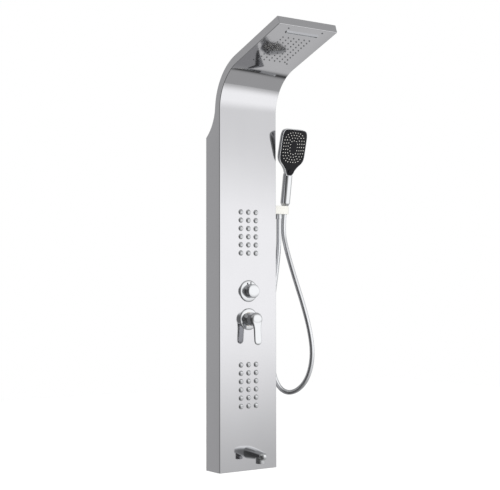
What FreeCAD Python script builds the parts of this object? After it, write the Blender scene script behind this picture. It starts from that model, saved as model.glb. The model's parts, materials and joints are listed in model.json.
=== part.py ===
import FreeCAD, Part
import math
import os
import re
import Sketcher

# A wall-hung shower column in millimetres. X runs to the right, Y into the wall and Z up. The wall
# is the plane y = 0, and z = 0 is the line of the upper bracket's two screw holes. Heights in the
# sheet are taken from the column's lower edge, and every node is lowered by hang_height at the end.

SIZES = (
    # (word in the sheet, millimetres or degrees, what it is)
    ("width", 200, "column, side to side"),
    ("depth", 70, "column, wall to front face"),
    ("sheet", 1.2, "thickness of the steel sheet"),
    ("bend_rise", 133, "start of the forward curve, above the upper bracket's screws"),
    ("bend_radius", 131, "concave radius of the front face"),
    ("bend_angle", 70, "turn of the front face, so the head rises by 90 less this"),
    ("head_length", 212, "straight part of the head"),
    ("flange", 23.5, "height of the folded rim round the head"),
    ("shoulder_rise", 60, "shoulder of the side walls, above the upper bracket's screws"),
    ("sweep_radius", 118, "curve of the side walls above the shoulder"),
    ("fold_radius", 1.7, "outside radius of the front folds"),
    ("return_width", 10, "flanges that lie on the wall"),
    ("bottom_flap", 25, "folded lip along the lower edge"),
    ("corner_slit", 0.8, "seam between the head's front and side rims"),
    ("hang_height", 900, "upper bracket's screw line above the lower edge"),
    ("lower_hang", 120, "lower bracket's screw line above the lower edge"),
    ("pin_from_wall", 16, "hanging pins, distance from the wall"),
    ("pin_radius", 3, "hanging pin"),
    ("pin_length", 15, "hanging pin, wall to head"),
    ("pin_head_radius", 4.5, "hanging pin's head"),
    ("pin_head", 2, "thickness of that head"),
    ("bracket_clearance", 3, "wall bracket inside the flanges on the wall, on each side"),
    ("bracket_height", 40, "wall bracket"),
    ("bracket_sheet", 2, "wall bracket's sheet"),
    ("bracket_tab", 30, "wall bracket's tabs, from the wall"),
    ("slot_play", 0.3, "hook slot over pin, on the radius"),
    ("screw_spacing", 100, "wall screws of one bracket, centre to centre"),
    ("screw_hole_radius", 2.75, "wall screw hole"),
    ("rain_pitch_across", 18.3, "rain nozzles, side to side"),
    ("rain_pitch_along", 13.3, "rain nozzles, front to back"),
    ("rain_start", 59.2, "first row of rain nozzles, from the tip fold"),
    ("nipple_radius", 2.25, "rain nozzle"),
    ("nipple_proud", 1.8, "rain nozzle, below the sheet"),
    ("nipple_hole_radius", 2.5, "hole in the sheet for a rain nozzle"),
    ("mat_thickness", 2, "rubber mat that carries the rain nozzles"),
    ("mat_margin", 5, "mat outside the outer nozzles"),
    ("mat_clearance", 0.2, "mat in its pocket, all round"),
    ("chamber_side", 13.25, "water chamber, out from the mat's edge"),
    ("chamber_start", 8, "chamber's front end, from the tip fold"),
    ("chamber_margin", 20, "chamber's rear end, before the end of the head's straight part"),
    ("chamber_height", 13, "chamber, over the sheet"),
    ("chamber_wall", 2, "chamber's top and end walls"),
    ("fall_centre", 33, "waterfall slot, from the tip fold"),
    ("fall_inset", 9.3, "waterfall lip inside the chamber, at each end"),
    ("fall_half_depth", 4, "waterfall lip, half its depth"),
    ("fall_wall", 2.3, "waterfall lip's wall"),
    ("fall_proud", 3, "waterfall lip below the sheet"),
    ("fall_room_half", 11, "waterfall compartment, half its depth"),
    ("seat_clearance", 0.15, "parts set into openings, on each side"),
    ("screw_inset", 6, "head screws inside the chamber's sides and ends"),
    ("screw_front_inset", 6.5, "front head screws, from the chamber's front end"),
    ("head_screw_radius", 1.5, "head screw's shank"),
    ("head_screw_cap_radius", 2.6, "head screw's cap"),
    ("head_screw_cap", 1.4, "height of that cap"),
    ("head_screw_length", 9, "head screw's shank"),
    ("jet_pitch_across", 26.5, "body jets, side to side"),
    ("jet_pitch_along", 23.7, "body jets, up and down"),
    ("jets_above", 169.1, "upper jets' middle, above the diverter's axis"),
    ("jets_below", 190.5, "lower jets' middle, below the mixer's axis"),
    ("jet_radius", 7.5, "jet's cap"),
    ("jet_rim", 1.2, "straight edge of the cap"),
    ("jet_height", 4.2, "cap, over the panel"),
    ("jet_flat_radius", 3.2, "flat at the middle of the cap"),
    ("jet_shank_radius", 5.2, "jet's shank"),
    ("jet_shank", 8, "shank behind the panel's front face"),
    ("jet_play", 0.2, "jet's shank in the panel, on the radius"),
    ("manifold_side", 9.5, "water box, out from the outer jets"),
    ("manifold_end", 10.75, "water box, above and below the outer jets"),
    ("manifold_depth", 18, "water box, from the sheet"),
    ("manifold_wall", 2.4, "water box's side walls"),
    ("manifold_front_wall", 7.4, "water box's front wall, which holds the jets"),
    ("diverter_height", 515.5, "diverter's axis"),
    ("valve_spacing", 81, "mixer's axis below the diverter's"),
    ("collar_radius", 21, "valve collar that passes the panel"),
    ("collar_play", 0.3, "collar in the panel, on the radius"),
    ("collar_reach", 3.5, "collar in front of the panel"),
    ("chamber_radius", 24, "valve chamber"),
    ("valve_back", 20, "back of the valve body, from the wall"),
    ("bore_radius", 17.6, "bore for a cartridge"),
    ("bore_floor", 38, "bottom of that bore, from the wall"),
    ("web_half_width", 14, "web between the two chambers"),
    ("port_from_wall", 34, "rear ports, from the wall"),
    ("front_port_depth", 14, "front ports, behind the front face"),
    ("port_across", 12, "ports, from the middle"),
    ("port_block_half", 20, "port block, half its width"),
    ("port_block_height", 25, "port block, from the axis"),
    ("barb_radius", 4, "hose barb"),
    ("barb_bore_radius", 2.6, "hose barb's bore"),
    ("barb_length", 14, "hose barb"),
    ("tube_radius", 6, "inner tube, outside"),
    ("tube_play", 0.05, "inner tube on a barb, on the radius"),
    ("inlet_from_wall", 42, "inlet arms, from the wall"),
    ("inlet_body_radius", 13, "inlet's plain part"),
    ("inlet_across", 36, "supply inlets, from the middle"),
    ("inlet_shoulder", 26, "where the inlet's thread starts, from the wall"),
    ("inlet_end", 12, "end of the inlet's thread, from the wall"),
    ("inlet_radius", 10.48, "G1/2 thread, outside"),
    ("inlet_bore_radius", 7.5, "inlet's bore"),
    ("thread_play", 0.05, "nut on its thread, on the radius"),
    ("locknut_radius", 27, "locknut"),
    ("locknut_thickness", 3.4, "locknut"),
    ("cartridge_play", 0.1, "cartridge in its bore, on the radius"),
    ("cartridge_sink", 2, "cartridge's shoulder, behind the front face"),
    ("cartridge_neck_radius", 11.9, "cartridge's neck"),
    ("cartridge_reach", 5, "cartridge's neck, over the front face"),
    ("rose_radius", 31.5, "escutcheon"),
    ("rose_height", 5, "escutcheon, over the panel"),
    ("rose_edge", 1.5, "escutcheon's bevelled edge"),
    ("rose_play", 0.5, "escutcheon round what passes through it, on the radius"),
    ("rose_plate", 1.4, "escutcheon's front wall"),
    ("cover_ring_radius", 19.5, "base ring of the cartridge cover"),
    ("cover_ring_top", 9.5, "top of that ring, over the panel"),
    ("cover_bore_radius", 17, "inside of that ring"),
    ("cover_floor", 1.5, "inner step of the cover, behind the ring's top"),
    ("pivot_height", 20, "lever's pivot, over the panel"),
    ("ball_radius", 16.5, "ball of the cartridge cover"),
    ("ball_wall", 2, "wall of the ball"),
    ("ball_foot", 11, "foot of the ball, over the panel"),
    ("ball_mouth_radius", 12.6, "opening at the front of the ball"),
    ("carrier_radius", 10, "lever carrier"),
    ("carrier_top", 25, "carrier's end, over the panel"),
    ("carrier_slot_floor", 10, "bottom of the carrier's slot, over the panel"),
    ("carrier_slot_half", 4.7, "half the width of that slot"),
    ("lever_pin_radius", 2, "pivot pin"),
    ("lever_pin_clearance", 0.05, "pivot pin in the stem, on the radius"),
    ("stem_radius", 4.5, "lever's stem"),
    ("set_play", 0.02, "stem and grub screw in the lever, on the radius"),
    ("stem_tail", 5, "stem behind its pivot"),
    ("stem_end", 43, "end of the stem, over the panel"),
    ("cap_radius", 20, "lever's cap"),
    ("cap_skirt_rise", 0.5, "lower edge of the cap, in front of the pivot"),
    ("cap_edge", 38, "where the cap's dome starts, over the panel"),
    ("cap_top", 47, "top of the cap, over the panel"),
    ("cap_play", 0.7, "hollow of the cap over the ball, on the radius"),
    ("blade_reach", 73, "lever's blade, below its axis"),
    ("blade_half_width", 9.7, "lever's blade"),
    ("blade_thickness", 8, "lever's blade"),
    ("blade_tip_height", 51, "blade's front face at its tip, over the panel"),
    ("grub_radius", 2, "grub screw"),
    ("grub_height", 40.3, "grub screw, over the panel"),
    ("grub_length", 8, "grub screw"),
    ("knob_radius", 19.5, "diverter knob"),
    ("knob_gap", 0.6, "knob over the escutcheon"),
    ("knob_collar", 0.8, "light collar at the knob's foot, on the radius"),
    ("knob_collar_height", 2, "height of that collar"),
    ("knob_top", 30, "knob's face, over the panel"),
    ("knob_edge", 1.2, "bevel round the face"),
    ("knob_wall", 2.1, "knob's side wall"),
    ("knob_face", 4, "knob's front wall"),
    ("hub_radius", 8, "knob's hub"),
    ("spindle_radius", 5, "diverter spindle"),
    ("spindle_sink", 6, "spindle's end, behind the knob's face"),
    ("pointer_radius", 2.5, "pointer pin"),
    ("pointer_height", 14, "pointer pin, over the panel"),
    ("pointer_reach", 27, "end of the pointer pin, from the axis"),
    ("spout_height", 52.2, "spout's axis"),
    ("spout_root_radius", 18.6, "spout at the panel"),
    ("spout_length", 90, "spout, from the panel"),
    ("spout_tip_drop", 4.9, "spout's end below its axis"),
    ("way_drop", 3, "water way below the spout's axis"),
    ("spout_mouth", 56.5, "mouth's axis, from the panel"),
    ("mouth_radius", 13.2, "aerator ring"),
    ("mouth_lower", 27, "aerator's lower edge"),
    ("mouth_upper", 36, "aerator's upper edge"),
    ("mouth_bore_radius", 9.5, "aerator's bore"),
    ("mouth_shank_radius", 11.5, "aerator's shank in the spout"),
    ("mouth_shank_end", 43, "top of that shank"),
    ("shank_radius", 10.4, "threaded shank of the spout"),
    ("shank_bore_radius", 7, "bore of that shank"),
    ("shank_front", 20, "shank in the spout"),
    ("shank_back", 46, "shank's rear end, from the wall"),
    ("shank_play", 0.4, "shank in the panel, on the radius"),
    ("shank_nut_radius", 17, "nut on the shank"),
    ("shank_nut_thickness", 6, "nut on the shank"),
    ("elbow_radius", 12, "elbow on the shank"),
    ("elbow_back", 24, "elbow's rear end, from the wall"),
    ("elbow_front", 52, "elbow's front end, from the wall"),
    ("holder_front", 58.5, "holder's front, from the wall"),
    ("holder_back", 29.5, "holder's rear, from the wall"),
    ("holder_end", 12, "holder's rounded end, out from the handset's axis"),
    ("holder_lower", 744, "holder's lower face"),
    ("holder_height", 24.5, "holder, lower to upper face"),
    ("outlet_out", 29, "hose outlet, out from the column's side"),
    ("outlet_rise", 13, "water way, above the holder's lower face"),
    ("outlet_radius", 7, "hose outlet, outside"),
    ("outlet_length", 11, "hose outlet, below the holder"),
    ("outlet_bore_radius", 4.5, "hose outlet's bore"),
    ("hose_nut_radius", 9.5, "nut on the hose outlet"),
    ("nut_lap", 3.5, "nut's lower end, below the outlet"),
    ("connector_radius", 6.5, "wall connector's thread"),
    ("connector_inside", 38, "connector, in from the column's side"),
    ("connector_body_radius", 9, "connector's body"),
    ("connector_flange_radius", 12, "connector's flange"),
    ("connector_flange", 2, "thickness of that flange"),
    ("connector_reach", 13, "connector's thread outside the column"),
    ("connector_barb_inside", 28, "connector's barb, in from the column's side"),
    ("socket_out", 50.5, "handset's axis, out from the column's side"),
    ("socket_from_wall", 44.4, "that axis, from the wall, at socket_height"),
    ("socket_rise", 12.25, "middle of the holder's socket, above its lower face"),
    ("lean", 9, "handset's axis leans forward"),
    ("cone_top", 14.1, "top of the cone nut, from the socket's middle"),
    ("cone_bottom", 12, "bottom of the cone nut, below the socket's middle"),
    ("cone_top_radius", 10.3, "cone nut, upper end"),
    ("cone_bottom_radius", 8.4, "cone nut, lower end"),
    ("cone_play", 0.05, "cone nut in its socket"),
    ("slit_play", 0.6, "slit of the holder beside the hose, on each side"),
    ("hose_radius", 7.2, "shower hose"),
    ("hose_play", 0.06, "hose end in its nut"),
    ("hose_seat", 6, "hose end inside the cone nut"),
    ("hose_drop", 40, "hose's first straight run, below the outlet"),
    ("hose_rise", 55, "hose's last straight run, below the cone nut"),
    ("tail_radius", 6, "handset's swivel tail"),
    ("tail_play", 0.06, "that tail in the cone nut"),
    ("tail_end", 3, "lower end of the tail, from the socket's middle"),
    ("swivel_gap", 0.2, "handset over the cone nut"),
    ("handle_radius", 14, "handset's handle"),
    ("handle_chamfer_end", 21.5, "top of the handle's chamfer, from the socket's middle"),
    ("handle_lap", 6, "round handle's end, above the face's lower end"),
    ("face_lean", 5.3, "shower face leans on from the handle's axis"),
    ("face_forward", 9, "face plane in front of the handle's axis, at face_start"),
    ("face_start", 112, "lower end of the face, from the socket's middle"),
    ("face_height", 131, "face, from face_start to its top"),
    ("face_half_width", 46, "head of the handset"),
    ("face_corner", 18, "upper corners of the head"),
    ("face_rim", 2.6, "chrome rim round the face"),
    ("head_thickness", 17, "handset's head"),
    ("face_plate", 2, "black face plate"),
    ("face_recess", 0.3, "face plate below the rim"),
    ("face_play", 0.1, "face plate and mat inside the rim, all round"),
    ("spray_mat", 2, "rubber mat behind the face plate"),
    ("button_height", 5, "mode button above the face's lower end"),
    ("button_radius", 6, "mode button"),
    ("button_play", 0.2, "mode button in its well"),
    ("button_proud", 2.4, "mode button over the face"),
    ("button_depth", 4, "mode button below the face"),
    ("button_well", 6.5, "depth of its well"),
)

FOLLOWING = (
    # (word in the sheet, what it follows from)
    ("bend_start", "hang_height + bend_rise"),
    ("shoulder", "hang_height + shoulder_rise"),
    ("bracket_width", "width - 2*return_width - 2*bracket_clearance"),
    ("chamber_half_width", "2.5*rain_pitch_across + mat_margin + chamber_side"),
    ("chamber_end", "head_length - chamber_margin"),
    ("fall_half_width", "chamber_half_width - fall_inset"),
    ("head_screw_across", "chamber_half_width - screw_inset"),
    ("head_screw_near", "chamber_start + screw_front_inset"),
    ("head_screw_far", "chamber_end - screw_inset"),
    ("mixer_height", "diverter_height - valve_spacing"),
    ("upper_jet_centre", "diverter_height + jets_above"),
    ("lower_jet_centre", "mixer_height - jets_below"),
    ("jet_hole_radius", "jet_shank_radius + jet_play"),
    ("manifold_half_width", "jet_pitch_across + manifold_side"),
    ("manifold_half_height", "2.5*jet_pitch_along + manifold_end"),
    ("collar_hole_radius", "collar_radius + collar_play"),
    ("front_port_from_wall", "depth - front_port_depth"),
    ("tube_bore_radius", "barb_radius + tube_play"),
    ("locknut_bore_radius", "collar_radius + thread_play"),
    ("cartridge_radius", "bore_radius - cartridge_play"),
    ("cartridge_top", "depth - cartridge_sink"),
    ("cartridge_neck_end", "depth + cartridge_reach"),
    ("gland_radius", "bore_radius - thread_play"),
    ("gland_bore_radius", "cartridge_neck_radius + cartridge_play"),
    ("rose_bore_radius", "cover_ring_radius + rose_play"),
    ("rose_skirt_radius", "locknut_radius + rose_play"),
    ("ball_inner_radius", "ball_radius - ball_wall"),
    ("cap_skirt", "pivot_height + cap_skirt_rise"),
    ("cap_cavity_radius", "ball_radius + cap_play"),
    ("knob_foot", "rose_height + knob_gap"),
    ("knob_collar_top", "knob_foot + knob_collar_height"),
    ("knob_cavity_radius", "knob_radius - knob_wall"),
    ("knob_floor", "knob_top - knob_face"),
    ("spindle_end", "knob_top - spindle_sink"),
    ("shank_hole_radius", "shank_radius + shank_play"),
    ("holder_upper", "holder_lower + holder_height"),
    ("holder_reach", "socket_out + holder_end"),
    ("outlet_across", "width/2 + outlet_out"),
    ("outlet_height", "holder_lower + outlet_rise"),
    ("outlet_lower", "holder_lower - outlet_length"),
    ("hose_nut_lower", "outlet_lower - nut_lap"),
    ("connector_inner_end", "width/2 - connector_inside"),
    ("connector_barb_across", "width/2 - connector_barb_inside"),
    ("socket_across", "width/2 + socket_out"),
    ("socket_height", "holder_lower + socket_rise"),
    ("slit_half", "hose_radius + slit_play"),
    ("handle_end", "face_start + handle_lap"),
)

RAIN_COLUMNS = 6
RAIN_ROWS = 10
JET_COLUMNS = 3
JET_ROWS = 6

# The spout's radius along its length, both as shares of the whole.
SPOUT_TAPER = ((0, 1), (0.3, 0.87), (0.58, 0.72), (0.83, 0.57), (0.93, 0.43), (0.98, 0.26), (1, 0.1))

# The hose from the outlet down behind the column's edge, round in a loop below and up to the
# holder, in millimetres with heights from the column's lower edge. The first and last points are
# worked out from the sheet.
HOSE_ROUTE = (
    (131.5, -40.5, 640),
    (127.5, -31.5, 560),
    (119.0, -22.0, 470),
    (115.0, -18.0, 375),
    (119.0, -22.0, 290),
    (130.0, -32.0, 236),
    (150.0, -52.0, 211),
    (176.0, -78.0, 221),
    (197.0, -99.0, 260),
    (206.5, -108.5, 325),
    (200.0, -102.0, 400),
    (185.0, -87.0, 480),
    (167.0, -69.0, 560),
    (152.5, -50.5, 640),
)

# Flat sides of what repeats or lies hidden, and straight runs for a small arc.
NOZZLE_SIDES = 8
JET_SIDES = 12
SPOUT_SIDES = 24
HOSE_SIDES = 12
TUBE_SIDES = 8

WORD = re.compile(r"[a-z]+(?:_[a-z]+)*")
WORDS = {word for word, _, _ in SIZES} | {word for word, _ in FOLLOWING}
NODES = []

document = FreeCAD.newDocument("shower_column")
sheet = document.addObject("Spreadsheet::Sheet", "dims")
for row, (word, number, meaning) in enumerate(SIZES, start=1):
    sheet.set(f"A{row}", str(number))
    sheet.setAlias(f"A{row}", word)
    sheet.set(f"B{row}", meaning)
for row, (word, text) in enumerate(FOLLOWING, start=len(SIZES) + 1):
    sheet.setAlias(f"A{row}", word)
    sheet.set(f"A{row}", "=" + text)
document.recompute()


# ---- reading the sheet -------------------------------------------------------------------------

def cell(found):
    """Return a word of a formula as a reference to its cell, where the sheet has it."""
    word = found.group()
    return "dims." + word if word in WORDS else word


def link(text):
    """Turn the sheet's words in a formula into references to its cells."""
    return WORD.sub(cell, text)


def value(text):
    """Return the present value of a formula over the sheet."""
    result = sheet.evalExpression(link(text))
    return float(getattr(result, "Value", result))


def bind(item, **formulas):
    """Tie properties of an object to formulas over the sheet."""
    for name, text in formulas.items():
        item.setExpression(name, link(text))
    return item


def place(item, x="0", y="0", z="0", lean=None):
    """Tie an object's place to the sheet, turned about X by the formula in lean."""
    if lean is not None:
        turn = FreeCAD.Rotation(FreeCAD.Vector(1, 0, 0), value(lean))
        item.Placement = FreeCAD.Placement(FreeCAD.Vector(), turn)
        if value(lean) > 0:
            item.setExpression("Placement.Rotation.Angle", link(lean))
    item.setExpression("Placement.Base.x", link(x))
    item.setExpression("Placement.Base.y", link(y))
    item.setExpression("Placement.Base.z", link(z))
    return item


def node(item, name):
    """Name an object that is handed in, and lower it to the upper bracket's screw line."""
    item.Label = name
    NODES.append(item)
    return item


def hung(item, name):
    """Hand in an object modelled with heights from the column's lower edge."""
    return node(place(item, z="-hang_height"), name)


# ---- small building blocks ---------------------------------------------------------------------

def box(name, x, y, z):
    """A block between pairs of formulas (low, high) along each axis."""
    item = document.addObject("Part::Box", name)
    bind(item, Length=f"({x[1]}) - ({x[0]})", Width=f"({y[1]}) - ({y[0]})", Height=f"({z[1]}) - ({z[0]})")
    return place(item, x[0], y[0], z[0])


def rod(name, along, radius, start, length):
    """A round bar from the point start, in the positive direction of the axis named in along."""
    item = document.addObject("Part::Cylinder", name)
    bind(item, Radius=radius, Height=length)
    turn = {
        "x": FreeCAD.Rotation(FreeCAD.Vector(0, 1, 0), 90),
        "y": FreeCAD.Rotation(FreeCAD.Vector(1, 0, 0), -90),
        "z": FreeCAD.Rotation(),
    }[along]
    item.Placement = FreeCAD.Placement(FreeCAD.Vector(), turn)
    return place(item, *start)


def bar(name, along, radius, start, length):
    """A hidden bar with flat sides, which touch the given radius."""
    item = document.addObject("Part::Prism", name)
    item.Polygon = TUBE_SIDES
    bind(item, Circumradius=f"({radius})/cos({180 / TUBE_SIDES})", Height=length)
    turn = {
        "x": FreeCAD.Rotation(FreeCAD.Vector(0, 1, 0), 90),
        "y": FreeCAD.Rotation(FreeCAD.Vector(1, 0, 0), -90),
        "z": FreeCAD.Rotation(),
    }[along]
    item.Placement = FreeCAD.Placement(FreeCAD.Vector(), turn)
    return place(item, *start)


def hex_nut(name, bore, radius, low, high):
    """A six-sided nut about Y between two places, whose corners lie at the radius."""
    block = document.addObject("Part::Prism", name + "_block")
    block.Polygon = 6
    bind(block, Circumradius=radius, Height=f"({high}) - ({low})")
    block.Placement = FreeCAD.Placement(FreeCAD.Vector(), FreeCAD.Rotation(FreeCAD.Vector(1, 0, 0), -90))
    place(block, y=low)
    hole = rod(name + "_hole", "y", bore, ("0", f"({low}) - 1", "0"), f"({high}) - ({low}) + 2")
    return cut(name, block, hole)


def flat_ring(radius, sides, middle):
    """The corners of a regular polygon about Z."""
    turns = [2 * math.pi * index / sides for index in range(sides)]
    return [middle + FreeCAD.Vector(radius * math.cos(turn), radius * math.sin(turn), 0) for turn in turns]


def flat_sided(levels, sides):
    """A solid of flat faces about Z, through (radius, place) or (radius, place, shift in Y) levels."""
    rings = []
    for radius, high, *shift in levels:
        rings.append(flat_ring(radius, sides, FreeCAD.Vector(0, sum(shift), high)))
    faces = [Part.Face(Part.makePolygon(end + end[:1])) for end in (rings[0], rings[-1])]
    for lower, upper in zip(rings, rings[1:]):
        for index in range(sides):
            after = (index + 1) % sides
            corners = [lower[index], lower[after], upper[after], upper[index], lower[index]]
            faces.append(Part.Face(Part.makePolygon(corners)))
    skin = Part.Shell(faces)
    skin.sewShape()
    solid = Part.Solid(skin)
    if solid.Volume < 0:
        solid.reverse()
    return solid


def along_y(shape):
    """Turn a shape made about Z, so that it lies about Y."""
    return shape.rotated(FreeCAD.Vector(), FreeCAD.Vector(1, 0, 0), -90)


def fuse(name, *pieces):
    """Join pieces into one solid."""
    item = document.addObject("Part::MultiFuse", name)
    item.Shapes = list(pieces)
    item.Refine = True
    return item


def cut(name, base, *tools):
    """Take tools away from a base."""
    if len(tools) == 1:
        tool = tools[0]
    else:
        tool = document.addObject("Part::Compound", name + "_tools")
        tool.Links = list(tools)
    item = document.addObject("Part::Cut", name)
    item.Base = base
    item.Tool = tool
    return item


def shaped(name, shape):
    """An object whose shape is worked out from the sheet by a function."""
    item = document.addObject("Part::Feature", name)
    item.Shape = shape
    return item


def copies(name, master, places):
    """One object made of copies of a master's solid, each moved by a vector."""
    document.recompute()
    solids = [master.Shape.translated(FreeCAD.Vector(*spot)) for spot in places]
    return shaped(name, Part.makeCompound(solids))


def origin_part(body, role):
    """Return the body's own plane or axis of the given role."""
    return next(part for part in body.Origin.OriginFeatures if part.Role == role)


def arc_between(first, second, radius, side):
    """A short arc from first to second that turns to the given side."""
    ahead = second - first
    left = FreeCAD.Vector(-ahead.y, ahead.x, 0).normalize()
    if side == "right":
        left = left.negative()
    rise = math.sqrt(max(radius**2 - (ahead.Length / 2) ** 2, 0))
    centre = first + ahead * 0.5 + left * rise
    start, end = (first, second) if side == "left" else (second, first)
    circle = Part.Circle(centre, FreeCAD.Vector(0, 0, 1), radius)
    return Part.ArcOfCircle(circle, circle.parameter(start), circle.parameter(end))


def outline_sketch(body, name, plane, corners):
    """A closed outline, fully tied to the sheet.

    A corner is (across, up), and (across, up, radius, side) where an arc that turns to that side
    leads to the next corner.
    """
    sketch = body.newObject("Sketcher::SketchObject", name)
    sketch.AttachmentSupport = [(origin_part(body, plane), "")]
    sketch.MapMode = "FlatFace"
    points = [FreeCAD.Vector(value(corner[0]), value(corner[1]), 0) for corner in corners]
    starts = []
    for index, corner in enumerate(corners):
        first = points[index]
        second = points[(index + 1) % len(points)]
        if len(corner) == 4:
            sketch.addGeometry(arc_between(first, second, value(corner[2]), corner[3]), False)
            starts.append(1 if corner[3] == "left" else 2)
        else:
            sketch.addGeometry(Part.LineSegment(first, second), False)
            starts.append(1)
    for index, corner in enumerate(corners):
        following = (index + 1) % len(corners)
        end = 3 - starts[index]
        sketch.addConstraint(Sketcher.Constraint("Coincident", index, end, following, starts[following]))
        hold_point(sketch, index, starts[index], corner[0], corner[1])
        if len(corner) == 4:
            number = sketch.addConstraint(Sketcher.Constraint("Radius", index, value(corner[2])))
            sketch.setExpression(f"Constraints[{number}]", link(corner[2]))
    return sketch


def hold_point(sketch, index, end, across, up):
    """Tie one end of a sketch line to formulas, or to an axis where the formula is 0."""
    for kind, axis, text in (("DistanceX", -2, across), ("DistanceY", -1, up)):
        if text == "0":
            sketch.addConstraint(Sketcher.Constraint("PointOnObject", index, end, axis))
        else:
            number = sketch.addConstraint(Sketcher.Constraint(kind, -1, 1, index, end, value(text)))
            sketch.setExpression(f"Constraints[{number}]", link(text))


def new_body(name):
    """An empty PartDesign body."""
    return document.addObject("PartDesign::Body", name)


def thick(body, name, plane, corners, span, removes=False):
    """Add or remove an outline's depth, half of the span on each side of its plane."""
    sketch = outline_sketch(body, name + "_outline", plane, corners)
    feature = body.newObject("PartDesign::Pocket" if removes else "PartDesign::Pad", name)
    feature.Profile = sketch
    feature.SideType = "Symmetric"
    bind(feature, Length=span)
    document.recompute()
    return feature


def turned(name, corners, plane="XY_Plane"):
    """A body of revolution about the outline's own upright axis, which is Y by default."""
    body = new_body(name)
    sketch = outline_sketch(body, name + "_outline", plane, corners)
    feature = body.newObject("PartDesign::Revolution", name + "_turn")
    feature.Profile = sketch
    feature.ReferenceAxis = (sketch, ["V_Axis"])
    feature.Angle = 360
    document.recompute()
    return body


def ring(name, inner, outer, low, high):
    """A plain ring about Y between two radii and two places."""
    return turned(name, [(inner, low), (outer, low), (outer, high), (inner, high)])


def arc_corners(centre, radius, start, end, runs):
    """Corners of straight runs along an arc in front of the panel, about a centre on its axis.

    The angles start and end are measured from the panel's plane.
    """
    corners = []
    for step in range(runs + 1):
        share = step / runs
        angle = f"(({start})*{1 - share:.4f} + ({end})*{share:.4f})"
        corners.append((f"({radius})*cos({angle})", f"-({centre}) - ({radius})*sin({angle})"))
    return corners


# ---- the head's own frame ----------------------------------------------------------------------
# Along the head, s runs back from the tip fold and n up from the face that looks down.

TIP_Y = "-depth - bend_radius*(1 - cos(bend_angle)) - head_length*sin(bend_angle)"
TIP_Z = "bend_start + bend_radius*sin(bend_angle) + head_length*cos(bend_angle)"


def head_point(s, n):
    """Formulas for (y, z) of a place in the head's frame."""
    across = f"{TIP_Y} + ({s})*sin(bend_angle) + ({n})*cos(bend_angle)"
    up = f"{TIP_Z} - ({s})*cos(bend_angle) + ({n})*sin(bend_angle)"
    return across, up


def head_placement(lowered=True):
    """The head's frame as a placement."""
    drop = value("hang_height") if lowered else 0
    base = FreeCAD.Vector(0, value(TIP_Y), value(TIP_Z) - drop)
    turn = FreeCAD.Rotation(FreeCAD.Vector(1, 0, 0), value("bend_angle - 90"))
    return FreeCAD.Placement(base, turn)


def on_head(item, name):
    """Hand in an object modelled in the head's frame, where Y is s and Z is n."""
    item.Placement = head_placement()
    item.setExpression("Placement.Base.y", link(TIP_Y))
    item.setExpression("Placement.Base.z", link(f"{TIP_Z} - hang_height"))
    return node(item, name)


def rain_rows():
    """The rows of rain nozzles that fit into the chamber."""
    room = value("chamber_end - chamber_wall - mat_margin - rain_start")
    return min(RAIN_ROWS, int(room / value("rain_pitch_along")) + 1)


def rain_places():
    """The middle of each rain nozzle in the head's frame."""
    pitch = value("rain_pitch_across")
    step = value("rain_pitch_along")
    columns = [pitch * (i - (RAIN_COLUMNS - 1) / 2) for i in range(RAIN_COLUMNS)]
    rows = [value("rain_start") + step * j for j in range(rain_rows())]
    return [(x, s, 0) for x in columns for s in rows]


def head_screw_places():
    """The middle of each head screw in the head's frame."""
    across = value("head_screw_across")
    rows = (value("head_screw_near"), value("head_screw_far"))
    return [(x, s, 0) for x in (-across, across) for s in rows]


def jet_places(centre):
    """The middle of each jet of a group, on the panel's front face."""
    across = value("jet_pitch_across")
    step = value("jet_pitch_along")
    low = value(centre) - step * (JET_ROWS - 1) / 2
    columns = [across * (i - (JET_COLUMNS - 1) / 2) for i in range(JET_COLUMNS)]
    return [(x, -value("depth"), low + step * j) for x in columns for j in range(JET_ROWS)]


# ---- column ------------------------------------------------------------------------------------

FLANGE_RADIUS = "bend_radius + flange"
SWEEP_SPAN = "bend_radius + flange + sweep_radius"
SHOULDER_SPAN = "sqrt((depth + bend_radius)^2 + (shoulder - bend_start)^2)"
SWEEP_ANGLE = (
    f"(atan((shoulder - bend_start)/(depth + bend_radius)) + acos((({SWEEP_SPAN})^2 + {SHOULDER_SPAN}^2"
    f" - sweep_radius^2)/(2*({SWEEP_SPAN})*{SHOULDER_SPAN})))"
)
SWEEP_POINT = (
    f"-depth - bend_radius + ({FLANGE_RADIUS})*cos({SWEEP_ANGLE})",
    f"bend_start + ({FLANGE_RADIUS})*sin({SWEEP_ANGLE})",
)


def front_fold_edges(shape):
    """Names of the edges where the front face folds into the sides, the tip and the lower lip."""
    half = value("width/2")
    front = -value("depth")
    radius = value("bend_radius")
    centre = FreeCAD.Vector(0, front - radius, value("bend_start"))
    frame = head_placement(lowered=False).inverse()
    names = []
    for index, edge in enumerate(shape.Edges, start=1):
        middle = edge.valueAt((edge.FirstParameter + edge.LastParameter) / 2)
        flat = FreeCAD.Vector(0, middle.y, middle.z)
        on_side = abs(abs(middle.x) - half) < 0.01
        in_head = frame.multVec(flat)
        on_panel = abs(middle.y - front) < 0.01 and middle.z < centre.z
        on_bend = abs((flat - centre).Length - radius) < 0.01
        on_head_face = abs(in_head.z) < 0.01 and in_head.y < value("head_length")
        across = abs(middle.x) < 0.01 and (on_panel and middle.z < 1 or in_head.Length < 0.01)
        if across or on_side and (on_panel or on_bend or on_head_face):
            names.append(f"Edge{index}")
    return names


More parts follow.
